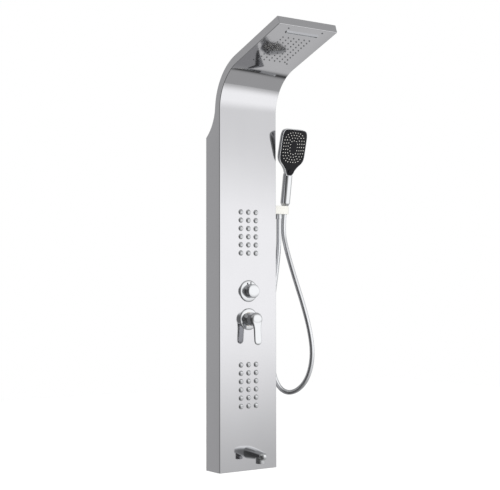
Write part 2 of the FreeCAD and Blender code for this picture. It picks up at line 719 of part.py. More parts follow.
def column_blank():
    """The folded steel column before its holes: front, sides, rims, wall flanges and lower lip."""
    body = new_body("column_blank")
    rim = head_point("head_length", "flange")
    side = [
        ("0", "0"),
        ("-depth", "0"),
        ("-depth", "bend_start", "bend_radius", "left"),
        head_point("head_length", "0"),
        head_point("0", "0"),
        head_point("0", "flange"),
        (rim[0], rim[1], FLANGE_RADIUS, "right"),
        (SWEEP_POINT[0], SWEEP_POINT[1], "sweep_radius", "left"),
        ("0", "shoulder"),
    ]
    solid = thick(body, "column_block", "YZ_Plane", side, "width")
    folds = body.newObject("PartDesign::Fillet", "column_folds")
    folds.Base = (solid, front_fold_edges(solid.Shape))
    bind(folds, Radius="fold_radius")
    document.recompute()
    bend_end = head_point("head_length", "sheet")
    hollow = [
        ("-depth + sheet", "sheet"),
        ("-depth + bottom_flap", "sheet"),
        ("-depth + bottom_flap", "-sheet"),
        ("-sheet", "-sheet"),
        ("-sheet", f"{TIP_Z} + 3*flange"),
        head_point("sheet", "3*flange"),
        head_point("sheet", "sheet"),
        (bend_end[0], bend_end[1], "bend_radius + sheet", "right"),
        ("-depth + sheet", "bend_start"),
    ]
    thick(body, "column_hollow", "YZ_Plane", hollow, "width - 2*sheet", removes=True)
    opening = [
        ("-2*sheet", "-sheet"),
        ("sheet", "-sheet"),
        ("sheet", f"{TIP_Z}"),
        ("-2*sheet", f"{TIP_Z}"),
    ]
    thick(body, "wall_opening", "YZ_Plane", opening, "width - 2*return_width", removes=True)
    return body


def panel_drills():
    """Tools for every round hole in the front and side walls."""
    reach = 3 * value("sheet")
    start = FreeCAD.Vector(0, -value("depth") - value("sheet"), 0)
    into = FreeCAD.Vector(0, 1, 0)
    radius = value("jet_hole_radius")
    hole = along_y(flat_sided([(radius, 0), (radius, reach)], JET_SIDES))
    tools = []
    for centre in ("upper_jet_centre", "lower_jet_centre"):
        for spot in jet_places(centre):
            tools.append(hole.translated(FreeCAD.Vector(spot[0], start.y, spot[2])))
    holes = (
        ("collar_hole_radius", "mixer_height"),
        ("collar_hole_radius", "diverter_height"),
        ("shank_hole_radius", "spout_height"),
    )
    for radius, height in holes:
        point = FreeCAD.Vector(0, start.y, value(height))
        tools.append(Part.makeCylinder(value(radius), reach, point, into))
    side = FreeCAD.Vector(value("width/2 - 2*sheet"), -value("socket_from_wall"), value("outlet_height"))
    radius = value("connector_radius + seat_clearance")
    tools.append(Part.makeCylinder(radius, reach, side, FreeCAD.Vector(1, 0, 0)))
    return shaped("panel_drills", Part.makeCompound(tools))


def head_drills():
    """Tools for the rain nozzles, the screws, the waterfall slot and the rim's corner seams."""
    depth = value("sheet")
    reach = 3 * depth
    tools = []
    holes = (
        (rain_places(), "nipple_hole_radius"),
        (head_screw_places(), "head_screw_radius + seat_clearance"),
    )
    for spots, radius in holes:
        hole = flat_sided([(value(radius), -depth), (value(radius), reach - depth)], NOZZLE_SIDES)
        tools.extend(hole.translated(FreeCAD.Vector(*spot)) for spot in spots)
    across = value("fall_half_width + seat_clearance")
    along = value("fall_half_depth + seat_clearance")
    corner = FreeCAD.Vector(-across, value("fall_centre") - along, -depth)
    tools.append(Part.makeBox(2 * across, 2 * along, reach, corner))
    slit = value("corner_slit")
    for x in (-value("width/2 - sheet") - slit / 2, value("width/2 - sheet") - slit / 2):
        corner = FreeCAD.Vector(x, -depth, 3 * depth)
        tools.append(Part.makeBox(slit, reach, value("flange"), corner))
    item = shaped("head_drills", Part.makeCompound(tools))
    item.Placement = head_placement(lowered=False)
    return item


def column_shell():
    """The bent sheet column with its holes."""
    hung(cut("column_cut", column_blank(), panel_drills(), head_drills()), "column_shell")


# ---- wall fixing -------------------------------------------------------------------------------

def hanging_pins():
    """Four headed pins, welded to the inner faces of the side walls."""
    length = value("pin_length")
    levels = [
        (value("pin_radius"), 0),
        (value("pin_radius"), length),
        (value("pin_head_radius"), length),
        (value("pin_head_radius"), length + value("pin_head")),
    ]
    pin = flat_sided(levels, NOZZLE_SIDES)
    right = pin.rotated(FreeCAD.Vector(), FreeCAD.Vector(0, 1, 0), -90)
    left = pin.rotated(FreeCAD.Vector(), FreeCAD.Vector(0, 1, 0), 90)
    wall = value("width/2 - sheet")
    solids = []
    for height in ("hang_height", "lower_hang"):
        for shape, x in ((right, wall), (left, -wall)):
            spot = FreeCAD.Vector(x, -value("pin_from_wall"), value(height))
            solids.append(shape.translated(spot))
    hung(shaped("hanging_pin_set", Part.makeCompound(solids)), "hanging_pins")


def wall_bracket(name, height):
    """A bent strip with two screw holes, whose tabs hold the hanging pins in open slots."""
    half = "bracket_width/2"
    strip = [
        (f"-{half}", "0"),
        (f"-{half}", "-bracket_tab"),
        (f"-{half} + bracket_sheet", "-bracket_tab"),
        (f"-{half} + bracket_sheet", "-bracket_sheet"),
        (f"{half} - bracket_sheet", "-bracket_sheet"),
        (f"{half} - bracket_sheet", "-bracket_tab"),
        (half, "-bracket_tab"),
        (half, "0"),
    ]
    body = new_body(name + "_strip")
    thick(body, name + "_bend", "XY_Plane", strip, "bracket_height")
    slot = "pin_radius + slot_play"
    hook = [
        (f"-pin_from_wall - ({slot})", "bracket_height"),
        (f"-pin_from_wall - ({slot})", "slot_play", slot, "left"),
        ("-pin_from_wall", f"slot_play - ({slot})", slot, "left"),
        (f"-pin_from_wall + ({slot})", "slot_play"),
        (f"-pin_from_wall + ({slot})", "bracket_height"),
    ]
    thick(body, name + "_slots", "YZ_Plane", hook, "bracket_width*2", removes=True)
    drills = []
    for side in ("-", ""):
        start = (f"{side}screw_spacing/2", "-2*bracket_sheet", "0")
        drills.append(rod(f"{name}_drill{side}", "y", "screw_hole_radius", start, "4*bracket_sheet"))
    plate = cut(name + "_plate", body, *drills)
    node(place(plate, z=f"{height} - hang_height"), name)


# ---- head --------------------------------------------------------------------------------------

RAIN_HALF = f"rain_pitch_across*{(RAIN_COLUMNS - 1) / 2} + mat_margin"
RAIN_END = f"rain_start + rain_pitch_along*{rain_rows() - 1} + mat_margin"


def rain_nozzles():
    """The rubber mat on the sheet, with a nipple through each hole of the rain field."""
    mat = box(
        "rain_mat",
        (f"-({RAIN_HALF})", RAIN_HALF),
        ("rain_start - mat_margin", RAIN_END),
        ("sheet", "sheet + mat_thickness"),
    )
    radius = value("nipple_radius")
    nipple = flat_sided([(radius, -value("nipple_proud")), (radius, value("sheet"))], NOZZLE_SIDES)
    solids = [nipple.translated(FreeCAD.Vector(*spot)) for spot in rain_places()]
    nipples = shaped("rain_nipples", Part.makeCompound(solids))
    on_head(fuse("rain_mat_whole", mat, nipples), "rain_nozzles")


def waterfall_lip():
    """The steel frame of the waterfall slot, which stands a little below the sheet."""
    low = "-fall_proud"
    high = "sheet + chamber_wall"
    frame = box(
        "fall_frame",
        ("-fall_half_width", "fall_half_width"),
        ("fall_centre - fall_half_depth", "fall_centre + fall_half_depth"),
        (low, high),
    )
    slot = box(
        "fall_slot",
        ("-fall_half_width + fall_wall", "fall_half_width - fall_wall"),
        ("fall_centre - fall_half_depth + fall_wall", "fall_centre + fall_half_depth - fall_wall"),
        (f"2*({low})", f"2*({high})"),
    )
    on_head(cut("fall_lip", frame, slot), "waterfall_lip")


def head_chamber():
    """The moulded box on the sheet, with a rain and a waterfall compartment and two barbs."""
    top = "sheet + chamber_height"
    block = box(
        "chamber_block",
        ("-chamber_half_width", "chamber_half_width"),
        ("chamber_start", "chamber_end"),
        ("sheet", top),
    )
    room = f"{top} - chamber_wall"
    across = f"{RAIN_HALF} + mat_clearance"
    pocket = box(
        "mat_pocket",
        (f"-({across})", across),
        ("rain_start - mat_margin - mat_clearance", f"{RAIN_END} + mat_clearance"),
        ("-sheet", "sheet + mat_thickness"),
    )
    inner = f"{RAIN_HALF} - mat_margin/2"
    rain_room = box(
        "rain_room",
        (f"-({inner})", inner),
        ("rain_start - mat_margin/2", f"{RAIN_END} - mat_margin/2"),
        ("-sheet", room),
    )
    fall_room = box(
        "fall_room",
        ("-fall_half_width", "fall_half_width"),
        ("fall_centre - fall_room_half", "fall_centre + fall_room_half"),
        ("sheet + chamber_wall", room),
    )
    fall_floor = box(
        "fall_floor",
        ("-fall_half_width - seat_clearance", "fall_half_width + seat_clearance"),
        (
            "fall_centre - fall_half_depth - seat_clearance",
            "fall_centre + fall_half_depth + seat_clearance",
        ),
        ("-sheet", "2*sheet + chamber_wall"),
    )
    bores = []
    barbs = []
    for side, reach in (("", "chamber_end - rain_start"), ("-", "chamber_end - fall_centre")):
        start = (f"{side}{BARB_ACROSS}", "chamber_end - chamber_wall", BARB_RISE)
        barbs.append(rod("head_barb" + side, "y", "barb_radius", start, "barb_length + chamber_wall"))
        start = (f"{side}{BARB_ACROSS}", f"chamber_end - ({reach})", BARB_RISE)
        bores.append(bar("head_bore" + side, "y", "barb_bore_radius", start, f"{reach} + 2*barb_length"))
    radius = value("head_screw_radius")
    thread = flat_sided([(radius, -value("sheet")), (radius, value("head_screw_length"))], NOZZLE_SIDES)
    threads = [thread.translated(FreeCAD.Vector(*spot)) for spot in head_screw_places()]
    thread_tools = shaped("chamber_threads", Part.makeCompound(threads))
    solid = fuse("chamber_solid", block, *barbs)
    whole = cut("chamber_whole", solid, pocket, rain_room, fall_room, fall_floor, *bores, thread_tools)
    on_head(whole, "head_chamber")


BARB_ACROSS = "rain_pitch_across*1.6"
BARB_RISE = "sheet + chamber_height/2"


def head_screws():
    """Four screws that hold the chamber up against the sheet."""
    levels = [
        (value("head_screw_cap_radius"), -value("head_screw_cap")),
        (value("head_screw_cap_radius"), 0),
        (value("head_screw_radius"), 0),
        (value("head_screw_radius"), value("head_screw_length")),
    ]
    screw = shaped("head_screw", flat_sided(levels, NOZZLE_SIDES))
    on_head(copies("head_screw_set", screw, head_screw_places()), "head_screws")


# ---- body jets ---------------------------------------------------------------------------------

def jet_groups():
    """Two groups of jets on the front panel."""
    levels = [
        (value("jet_flat_radius"), -value("jet_height")),
        (value("jet_radius"), -value("jet_rim")),
        (value("jet_radius"), 0),
        (value("jet_shank_radius"), 0),
        (value("jet_shank_radius"), value("jet_shank")),
    ]
    jet = shaped("jet", along_y(flat_sided(levels, JET_SIDES)))
    hung(copies("upper_jet_set", jet, jet_places("upper_jet_centre")), "upper_jets")
    hung(copies("lower_jet_set", jet, jet_places("lower_jet_centre")), "lower_jets")


def jet_manifold(name, centre, towards):
    """The water box behind a group of jets, with one barb towards the valve."""
    back = "-depth + sheet + manifold_depth"
    block = box(
        name + "_block",
        ("-manifold_half_width", "manifold_half_width"),
        ("-depth + sheet", back),
        (f"{centre} - manifold_half_height", f"{centre} + manifold_half_height"),
    )
    room = box(
        name + "_room",
        ("-manifold_half_width + manifold_wall", "manifold_half_width - manifold_wall"),
        ("-depth + sheet + manifold_front_wall", f"{back} - manifold_wall"),
        (
            f"{centre} - manifold_half_height + manifold_wall",
            f"{centre} + manifold_half_height - manifold_wall",
        ),
    )
    end = f"{centre} {towards} manifold_half_height"
    across = "-port_across"
    along = "-front_port_from_wall"
    if towards == "-":
        barb_start = f"{end} - barb_length"
        bore_start = f"{end} - 2*barb_length"
    else:
        barb_start = end
        bore_start = f"{end} - barb_length"
    barb = rod(name + "_barb", "z", "barb_radius", (across, along, barb_start), "barb_length")
    bore = bar(name + "_bore", "z", "barb_bore_radius", (across, along, bore_start), "3*barb_length")
    radius = value("jet_shank_radius")
    drill = along_y(flat_sided([(radius, 0), (radius, value("jet_shank"))], JET_SIDES))
    drills = [drill.translated(FreeCAD.Vector(*spot)) for spot in jet_places(centre)]
    sockets = shaped(name + "_sockets", Part.makeCompound(drills))
    whole = cut(name + "_whole", fuse(name + "_solid", block, barb), room, bore, sockets)
    hung(whole, name)


# ---- valve -------------------------------------------------------------------------------------

def valve_chamber(name, height):
    """One chamber of the valve body, with the collar that passes the panel."""
    corners = [
        ("bore_radius", "-depth - collar_reach"),
        ("collar_radius", "-depth - collar_reach"),
        ("collar_radius", "-depth + sheet"),
        ("chamber_radius", "-depth + sheet"),
        ("chamber_radius", "-valve_back"),
        ("0", "-valve_back"),
        ("0", "-bore_floor"),
        ("bore_radius", "-bore_floor"),
    ]
    return place(turned(name, corners), z=height)


def valve_body():
    """The brass body: two chambers, the web between them, two inlets and six outlet barbs."""
    chambers = [
        valve_chamber("mixer_chamber", "mixer_height"),
        valve_chamber("diverter_chamber", "diverter_height"),
    ]
    web = box(
        "valve_web",
        ("-web_half_width", "web_half_width"),
        ("-bore_floor", "-valve_back - chamber_wall"),
        ("mixer_height", "diverter_height"),
    )
    front = "-front_port_from_wall - tube_radius"
    back = "-port_from_wall + tube_radius"
    blocks = []
    for name, low, high in (
        ("upper_port_block", "diverter_height", "diverter_height + port_block_height"),
        ("lower_port_block", "mixer_height - port_block_height", "mixer_height"),
    ):
        blocks.append(box(name, ("-port_block_half", "port_block_half"), (front, back), (low, high)))
    clear = []
    for name, height in (("mixer_clear", "mixer_height"), ("diverter_clear", "diverter_height")):
        start = ("0", "-depth - 2*collar_reach", height)
        clear.append(rod(name, "y", "bore_radius", start, "depth + 2*collar_reach - bore_floor"))
    barbs = []
    bores = []
    inner = "-front_port_from_wall"
    outer = "-port_from_wall"
    upper = "diverter_height + port_block_height"
    lower = "mixer_height - port_block_height - barb_length"
    ports = (
        ("rain_port", "port_across", outer, upper, "1"),
        ("fall_port", "-port_across", outer, upper, "1"),
        ("hand_port", "port_across", inner, upper, "1"),
        ("upper_port", "-port_across", inner, upper, "1"),
        ("lower_port", "-port_across", inner, lower, "0"),
        ("spout_port", "0", outer, lower, "0"),
    )
    for name, across, along, start, rises in ports:
        barbs.append(rod(name, "z", "barb_radius", (across, along, start), "barb_length"))
        below = f"{start} - barb_length*{rises}/2"
        bores.append(bar(name + "_bore", "z", "barb_bore_radius", (across, along, below), "barb_length*3/2"))
    inlets = []
    elbow = "-inlet_from_wall - inlet_body_radius"
    for side, across, low, way in (
        ("hot", "-inlet_across", "-inlet_across", "-inlet_across"),
        ("cold", "inlet_across", "0", "bore_radius - sheet"),
    ):
        start = (low, "-inlet_from_wall", "mixer_height")
        inlets.append(rod(side + "_arm", "x", "inlet_body_radius", start, "inlet_across"))
        start = (across, elbow, "mixer_height")
        length = f"-({elbow}) - inlet_shoulder"
        inlets.append(rod(side + "_elbow", "y", "inlet_body_radius", start, length))
        start = (across, "-inlet_shoulder", "mixer_height")
        inlets.append(rod(side + "_thread", "y", "inlet_radius", start, "inlet_shoulder - inlet_end"))
        start = (across, "-inlet_from_wall", "mixer_height")
        bores.append(rod(side + "_bore", "y", "inlet_bore_radius", start, "inlet_from_wall"))
        start = (way, "-inlet_from_wall", "mixer_height")
        length = "inlet_across - bore_radius + sheet"
        bores.append(rod(side + "_way", "x", "inlet_bore_radius", start, length))
    solid = fuse("valve_solid", *chambers, web, *blocks, *barbs, *inlets)
    hung(cut("valve_whole", solid, *clear, *bores), "valve_body")


def both_valves(name, master):
    """The same turned piece on the mixer and on the diverter."""
    places = [(0, 0, value("mixer_height")), (0, 0, value("diverter_height"))]
    hung(copies(name + "_pair", master, places), name)


def valve_rings():
    """Locknuts on the collars and the ring nuts that hold the cartridges."""
    front = "-depth"
    back = f"{front} - locknut_thickness"
    both_valves("valve_locknuts", hex_nut("locknut", "locknut_bore_radius", "locknut_radius", back, front))
    gland = ring("gland", "gland_bore_radius", "gland_radius", f"{front} - collar_reach", "-cartridge_top")
    both_valves("cartridge_nuts", gland)


def cartridge(name, height):
    """A ceramic cartridge with its neck."""
    corners = [
        ("0", "-cartridge_neck_end"),
        ("cartridge_neck_radius", "-cartridge_neck_end"),
        ("cartridge_neck_radius", "-cartridge_top"),
        ("cartridge_radius", "-cartridge_top"),
        ("cartridge_radius", "-bore_floor"),
        ("0", "-bore_floor"),
    ]
    node(place(turned(name, corners), z=f"{height} - hang_height"), name)


def escutcheon(name, height):
    """The round rose over a valve's locknut."""
    corners = [
        ("rose_radius", "0"),
        ("rose_radius", "-rose_height + rose_edge"),
        ("rose_radius - rose_edge", "-rose_height"),
        ("rose_bore_radius", "-rose_height"),
        ("rose_bore_radius", "-rose_height + rose_plate"),
        ("rose_skirt_radius", "-rose_height + rose_plate"),
        ("rose_skirt_radius", "0"),
    ]
    node(place(turned(name, corners), y="-depth", z=f"{height} - hang_height"), name)


# ---- mixer lever -------------------------------------------------------------------------------

def at_mixer(item, name):
    """Hand in a piece modelled about the mixer's axis, with y = 0 on the panel's front face."""
    return node(place(item, y="-depth", z="mixer_height - hang_height"), name)


def cartridge_cover():
    """The fixed cover over the mixer's cartridge: a base ring and a hollow ball, open in front."""
    foot = "pivot_height - ball_foot"
    outer = ("ball_radius", f"-asin(({foot})/ball_radius)", "acos(ball_mouth_radius/ball_radius)")
    mouth = "acos(ball_mouth_radius/ball_inner_radius)"
    inner = ("ball_inner_radius", mouth, f"-asin(({foot})/ball_inner_radius)")
    floor = "-cover_ring_top + cover_floor"
    corners = [
        ("cover_bore_radius", "-collar_reach"),
        ("cover_ring_radius", "-collar_reach"),
        ("cover_ring_radius", "-cover_ring_top"),
        (f"sqrt(ball_radius^2 - ({foot})^2)", "-cover_ring_top"),
        *arc_corners("pivot_height", *outer, 5),
        *arc_corners("pivot_height", *inner, 3),
        (f"sqrt(ball_inner_radius^2 - ({foot})^2)", floor),
        ("cover_bore_radius", floor),
    ]
    at_mixer(turned("cartridge_cover_turn", corners), "cartridge_cover")


def lever_carrier():
    """The slotted rotor on the cartridge, and the pin on which the lever tips."""
    foot = "cartridge_neck_end - depth"
    drum = rod("carrier_drum", "y", "carrier_radius", ("0", "-carrier_top", "0"), f"carrier_top - ({foot})")
    slot = box(
        "carrier_slot",
        ("-carrier_slot_half", "carrier_slot_half"),
        ("-carrier_top - 1", "-carrier_slot_floor"),
        ("-carrier_radius - 1", "carrier_radius + 1"),
    )
    start = ("-carrier_radius - 1", "-pivot_height", "0")
    eye = rod("carrier_eye", "x", "lever_pin_radius", start, "2*carrier_radius + 2")
    at_mixer(cut("carrier_whole", drum, slot, eye), "lever_carrier")
    reach = "sqrt(carrier_radius^2 - lever_pin_radius^2)"
    pin = rod("pivot_pin", "x", "lever_pin_radius", (f"-{reach}", "-pivot_height", "0"), f"2*{reach}")
    node(place(pin, x=f"-{reach}", y="-depth - pivot_height", z="mixer_height - hang_height"), "lever_pin")


def lever_stem():
    """The round stem through the pivot pin, up into the lever's cap."""
    start = ("0", "-stem_end", "0")
    shaft = rod("stem_shaft", "y", "stem_radius", start, "stem_end - pivot_height + stem_tail")
    eye_start = ("-stem_radius - 1", "-pivot_height", "0")
    eye = rod("stem_eye", "x", "lever_pin_radius + lever_pin_clearance", eye_start, "2*stem_radius + 2")
    at_mixer(cut("stem_whole", shaft, eye), "lever_stem")


def lever_blade():
    """The flat blade, as the common part of its side view and its front view."""
    side = [
        ("-cap_top", "0"),
        ("-cap_top + blade_thickness", "0"),
        ("-blade_tip_height + blade_thickness", "-blade_reach"),
        ("-blade_tip_height + 2", "-blade_reach", "2", "right"),
        ("-blade_tip_height", "-blade_reach + 2"),
    ]
    body = new_body("blade_side")
    thick(body, "blade_side_pad", "YZ_Plane", side, "3*blade_half_width")
    front = [
        ("-blade_half_width", "0"),
        ("-blade_half_width", "-blade_reach + blade_half_width", "blade_half_width", "left"),
        ("0", "-blade_reach", "blade_half_width", "left"),
        ("blade_half_width", "-blade_reach + blade_half_width"),
        ("blade_half_width", "0"),
    ]
    plan = new_body("blade_front")
    thick(plan, "blade_front_pad", "XZ_Plane", front, "3*blade_tip_height")
    blade = document.addObject("Part::Common", "blade")
    blade.Base = body
    blade.Tool = plan
    return blade


def lever_handle():
    """The lever: a domed cap that turns over the ball, and its blade."""
    dome = "((cap_radius^2 + (cap_top - cap_edge)^2)/(2*(cap_top - cap_edge)))"
    outer = arc_corners(f"cap_top - {dome}", dome, f"acos(cap_radius/{dome})", "90 deg", 4)
    lip = "asin((cap_skirt - pivot_height)/cap_cavity_radius)"
    inner = arc_corners("pivot_height", "cap_cavity_radius", lip, "90 deg", 5)
    corners = [
        ("cap_radius", "-cap_skirt"),
        *outer[:-1],
        ("0", "-cap_top"),
        ("0", "-pivot_height - cap_cavity_radius"),
        *reversed(inner[:-1]),
    ]
    cap = turned("lever_cap", corners)
    start = ("0", "-stem_end", "0")
    seat = rod("stem_seat", "y", "stem_radius + set_play", start, "stem_end - pivot_height")
    start = ("0", "-grub_height", "-cap_radius - 1")
    drill = rod("grub_drill", "z", "grub_radius + set_play", start, "cap_radius + 1")
    at_mixer(cut("lever_whole", fuse("lever_solid", cap, lever_blade()), seat, drill), "lever_handle")
    low = "-stem_radius - grub_length"
    grub = rod("grub", "z", "grub_radius", ("0", "-grub_height", low), "grub_length")
    node(place(grub, y="-depth - grub_height", z=f"mixer_height - hang_height + {low}"), "grub_screw")


# ---- diverter knob -----------------------------------------------------------------------------

def at_diverter(item, name):
    """Hand in a piece modelled about the diverter's axis, with y = 0 on the panel's front face."""
    return node(place(item, y="-depth", z="diverter_height - hang_height"), name)


def diverter_knob():
    """The hollow knob with its hub, its spindle and its pointer pin."""
    corners = [
        ("knob_radius + knob_collar", "-knob_foot"),
        ("knob_radius + knob_collar", "-knob_collar_top"),
        ("knob_radius", "-knob_collar_top"),
        ("knob_radius", "-knob_top + knob_edge"),
        ("knob_radius - knob_edge", "-knob_top"),
        ("0", "-knob_top"),
        ("0", "-spindle_end"),
        ("spindle_radius", "-spindle_end"),
        ("spindle_radius", "-knob_foot - knob_edge"),
        ("hub_radius", "-knob_foot - knob_edge"),
        ("hub_radius", "-knob_floor"),
        ("knob_cavity_radius", "-knob_floor"),
        ("knob_cavity_radius", "-knob_foot"),
    ]
    start = ("0", "-pointer_height", "hub_radius + 1")
    drill = rod("pointer_drill", "z", "pointer_radius", start, "knob_radius")
    at_diverter(cut("knob_whole", turned("knob_turn", corners), drill), "diverter_knob")
    foot = "cartridge_neck_end - depth"
    spindle = rod("spindle", "y", "spindle_radius", ("0", "-spindle_end", "0"), f"spindle_end - ({foot})")
    node(place(spindle, y="-depth - spindle_end", z="diverter_height - hang_height"), "diverter_spindle")
    pin = turned(
        "pointer_pin",
        [
            ("0", "knob_cavity_radius"),
            ("pointer_radius", "knob_cavity_radius"),
            ("pointer_radius", "pointer_reach - 1"),
            ("pointer_radius - 1", "pointer_reach"),
            ("0", "pointer_reach"),
        ],
        plane="XZ_Plane",
    )
    node(place(pin, y="-depth - pointer_height", z="diverter_height - hang_height"), "diverter_pointer")


# ---- spout -------------------------------------------------------------------------------------

def spout_solid():
    """The spout's outside: a tapering horn with a rounded end and a boss for the mouth."""
    axis = value("spout_height")
    root = value("spout_root_radius")
    length = value("spout_length")
    drop = value("spout_tip_drop")
    front = -value("depth")
    levels = [(root * size, -length * share, drop * share**2) for share, size in SPOUT_TAPER]
    horn = along_y(flat_sided(levels, SPOUT_SIDES)).translated(FreeCAD.Vector(0, front, axis))
    mouth = FreeCAD.Vector(0, front - value("spout_mouth"), value("mouth_upper"))
    boss = Part.makeCylinder(value("mouth_radius"), axis - drop - mouth.z, mouth)
    return shaped("spout_solid", horn.fuse(boss))


def spout():
    """The spout with its water way, its aerator and what holds it to the panel."""
    forward = "-depth - spout_mouth"
    start = ("0", forward, "spout_height - way_drop")
    way = rod("spout_way", "y", "shank_bore_radius", start, "spout_mouth + 1")
    start = ("0", "-depth - shank_front", "spout_height")
    seat = rod("spout_seat", "y", "shank_radius + set_play", start, "shank_front + 1")
    start = ("0", forward, "mouth_upper - 1")
    well = rod("mouth_well", "z", "mouth_shank_radius + set_play", start, "spout_height - mouth_upper")
    hung(cut("spout_whole", spout_solid(), way, seat, well), "spout")
    corners = [
        ("mouth_bore_radius", "mouth_lower"),
        ("mouth_radius", "mouth_lower"),
        ("mouth_radius", "mouth_upper"),
        ("mouth_shank_radius", "mouth_upper"),
        ("mouth_shank_radius", "mouth_shank_end"),
        ("mouth_bore_radius", "mouth_shank_end"),
    ]
    aerator = turned("aerator_turn", corners, plane="XZ_Plane")
    node(place(aerator, y=forward, z="-hang_height"), "spout_aerator")
    at_axis = "spout_height - hang_height"
    shank = ring("shank_turn", "shank_bore_radius", "shank_radius", "-depth - shank_front", "-shank_back")
    node(place(shank, z=at_axis), "spout_shank")
    back = "-depth + sheet"
    bore = "shank_radius + set_play"
    nut = hex_nut("shank_nut", bore, "shank_nut_radius", back, f"{back} + shank_nut_thickness")
    node(place(nut, z=at_axis), "spout_nut")


def spout_elbow():
    """The elbow on the shank's rear end, with a barb that points up."""
    low = "spout_height"
    body = rod("elbow_body", "y", "elbow_radius", ("0", "-elbow_front", low), "elbow_front - elbow_back")
    start = ("0", "-port_from_wall", low)
    barb = rod("elbow_barb", "z", "barb_radius", start, "elbow_radius + barb_length")
    bore = bar("elbow_bore", "z", "barb_bore_radius", start, "2*elbow_radius + barb_length")
    start = ("0", "-elbow_front - 1", low)
    socket = rod("elbow_socket", "y", "shank_radius + set_play", start, "elbow_front + 1 - shank_back")
    start = ("0", "-shank_back - 1", low)
    way = rod("elbow_way", "y", "shank_bore_radius", start, "shank_back + 1 - port_from_wall")
    hung(cut("elbow_whole", fuse("elbow_solid", body, barb), bore, socket, way), "spout_elbow")


# ---- hand shower -------------------------------------------------------------------------------

def in_hand(item, name):
    """Hand in a piece modelled in the handset's frame, whose Z is the handset's axis."""
    place(item, "socket_across", "-socket_from_wall", "socket_height - hang_height", lean="lean")
    return node(item, name)


def socket_tools():
    """The tapered socket and the slit of the holder, along the handset's axis."""
    play = value("cone_play")
    top = value("cone_top")
    bottom = value("cone_bottom")
    upper = value("cone_top_radius") + play
    lower = value("cone_bottom_radius") + play
    taper = (upper - lower) / (top + bottom)
    spare = value("holder_height/3")
    cone = Part.makeCone(
        lower - taper * spare,
        upper + taper * spare,
        top + bottom + 2 * spare,
        FreeCAD.Vector(0, 0, -bottom - spare),
    )
    half = value("slit_half")
    reach = value("holder_reach")
    height = top + bottom + 2 * spare
    slit = Part.makeBox(reach, 2 * half, height, FreeCAD.Vector(0, -half, -bottom - spare))
    item = shaped("socket_tools", cone.fuse(slit))
    spot = FreeCAD.Vector(value("socket_across"), -value("socket_from_wall"), value("socket_height"))
    item.Placement = FreeCAD.Placement(spot, FreeCAD.Rotation(FreeCAD.Vector(1, 0, 0), value("lean")))
    return item


def hand_holder():
    """The moulded holder on the column's side, with the hose outlet below and a slit socket."""
    side = "width/2"
    end = f"{side} + holder_reach"
    round_end = "(holder_front - holder_back)/2"
    plan = [
        (side, "-holder_back"),
        (side, "-holder_front"),
        (f"{end} - {round_end}", "-holder_front", round_end, "left"),
        (end, "-(holder_front + holder_back)/2", round_end, "left"),
        (f"{end} - {round_end}", "-holder_back"),
    ]
    body = new_body("holder_block")
    height = "holder_upper - holder_lower"
    thick(body, "holder_pad", "XY_Plane", plan, height)
    place(body, z="(holder_upper + holder_lower)/2")
    spot = ("outlet_across", "-socket_from_wall", "outlet_lower")
    nipple = rod("outlet_nipple", "z", "outlet_radius", spot, "holder_lower - outlet_lower + 1")
    bore = rod("outlet_bore", "z", "outlet_bore_radius", spot, "outlet_height - outlet_lower")
    start = (side, "-socket_from_wall", "outlet_height")
    thread = rod("holder_thread", "x", "connector_radius + set_play", start, "connector_reach")
    way = rod("holder_way", "x", "outlet_bore_radius", start, "outlet_across - width/2")
    whole = cut("holder_whole", fuse("holder_solid", body, nipple), bore, thread, way, socket_tools())
    hung(whole, "hand_holder")


def outlet_connector():
    """The fitting inside the side wall: a flange, a thread into the holder and a barb below."""
    wall = "width/2 - sheet"
    along = "-socket_from_wall"
    body = rod(
        "connector_body",
        "x",
        "connector_body_radius",
        ("connector_inner_end", along, "outlet_height"),
        f"{wall} - connector_inner_end",
    )
    flange = rod(
        "connector_flange_disc",
        "x",
        "connector_flange_radius",
        (f"{wall} - connector_flange", along, "outlet_height"),
        "connector_flange",
    )
    start = (wall, along, "outlet_height")
    thread = rod("connector_thread", "x", "connector_radius", start, "sheet + connector_reach")
    low = "outlet_height - connector_body_radius - barb_length"
    spot = ("connector_barb_across", along, low)
    barb = rod("connector_barb", "z", "barb_radius", spot, "barb_length + connector_body_radius")
    bore = bar("connector_bore", "z", "barb_bore_radius", spot, "barb_length + connector_body_radius")
    start = ("connector_inner_end + chamber_wall", along, "outlet_height")
    way = rod("connector_way", "x", "outlet_bore_radius", start, "width")
    solid = fuse("connector_solid", body, flange, thread, barb)
    hung(cut("connector_whole", solid, bore, way), "outlet_connector")


def hose_nut():
    """The nut that holds the hose on the outlet."""
    corners = [
        ("hose_radius + hose_play", "hose_nut_lower"),
        ("hose_nut_radius", "hose_nut_lower"),
        ("hose_nut_radius", "holder_lower"),
        ("outlet_radius + set_play", "holder_lower"),
        ("outlet_radius + set_play", "outlet_lower"),
        ("hose_radius + hose_play", "outlet_lower"),
    ]
    nut = turned("hose_nut_turn", corners, plane="XZ_Plane")
    node(place(nut, x="outlet_across", y="-socket_from_wall", z="-hang_height"), "hose_nut")


def cone_nut():
    """The tapered nut on the hose's other end, which rests in the holder."""
    corners = [
        ("hose_radius + hose_play", "-cone_bottom"),
        ("cone_bottom_radius", "-cone_bottom"),
        ("cone_top_radius", "cone_top"),
        ("tail_radius + tail_play", "cone_top"),
        ("tail_radius + tail_play", "-cone_bottom + hose_seat"),
        ("hose_radius + hose_play", "-cone_bottom + hose_seat"),
    ]
    in_hand(turned("cone_nut_turn", corners, plane="XZ_Plane"), "cone_nut")


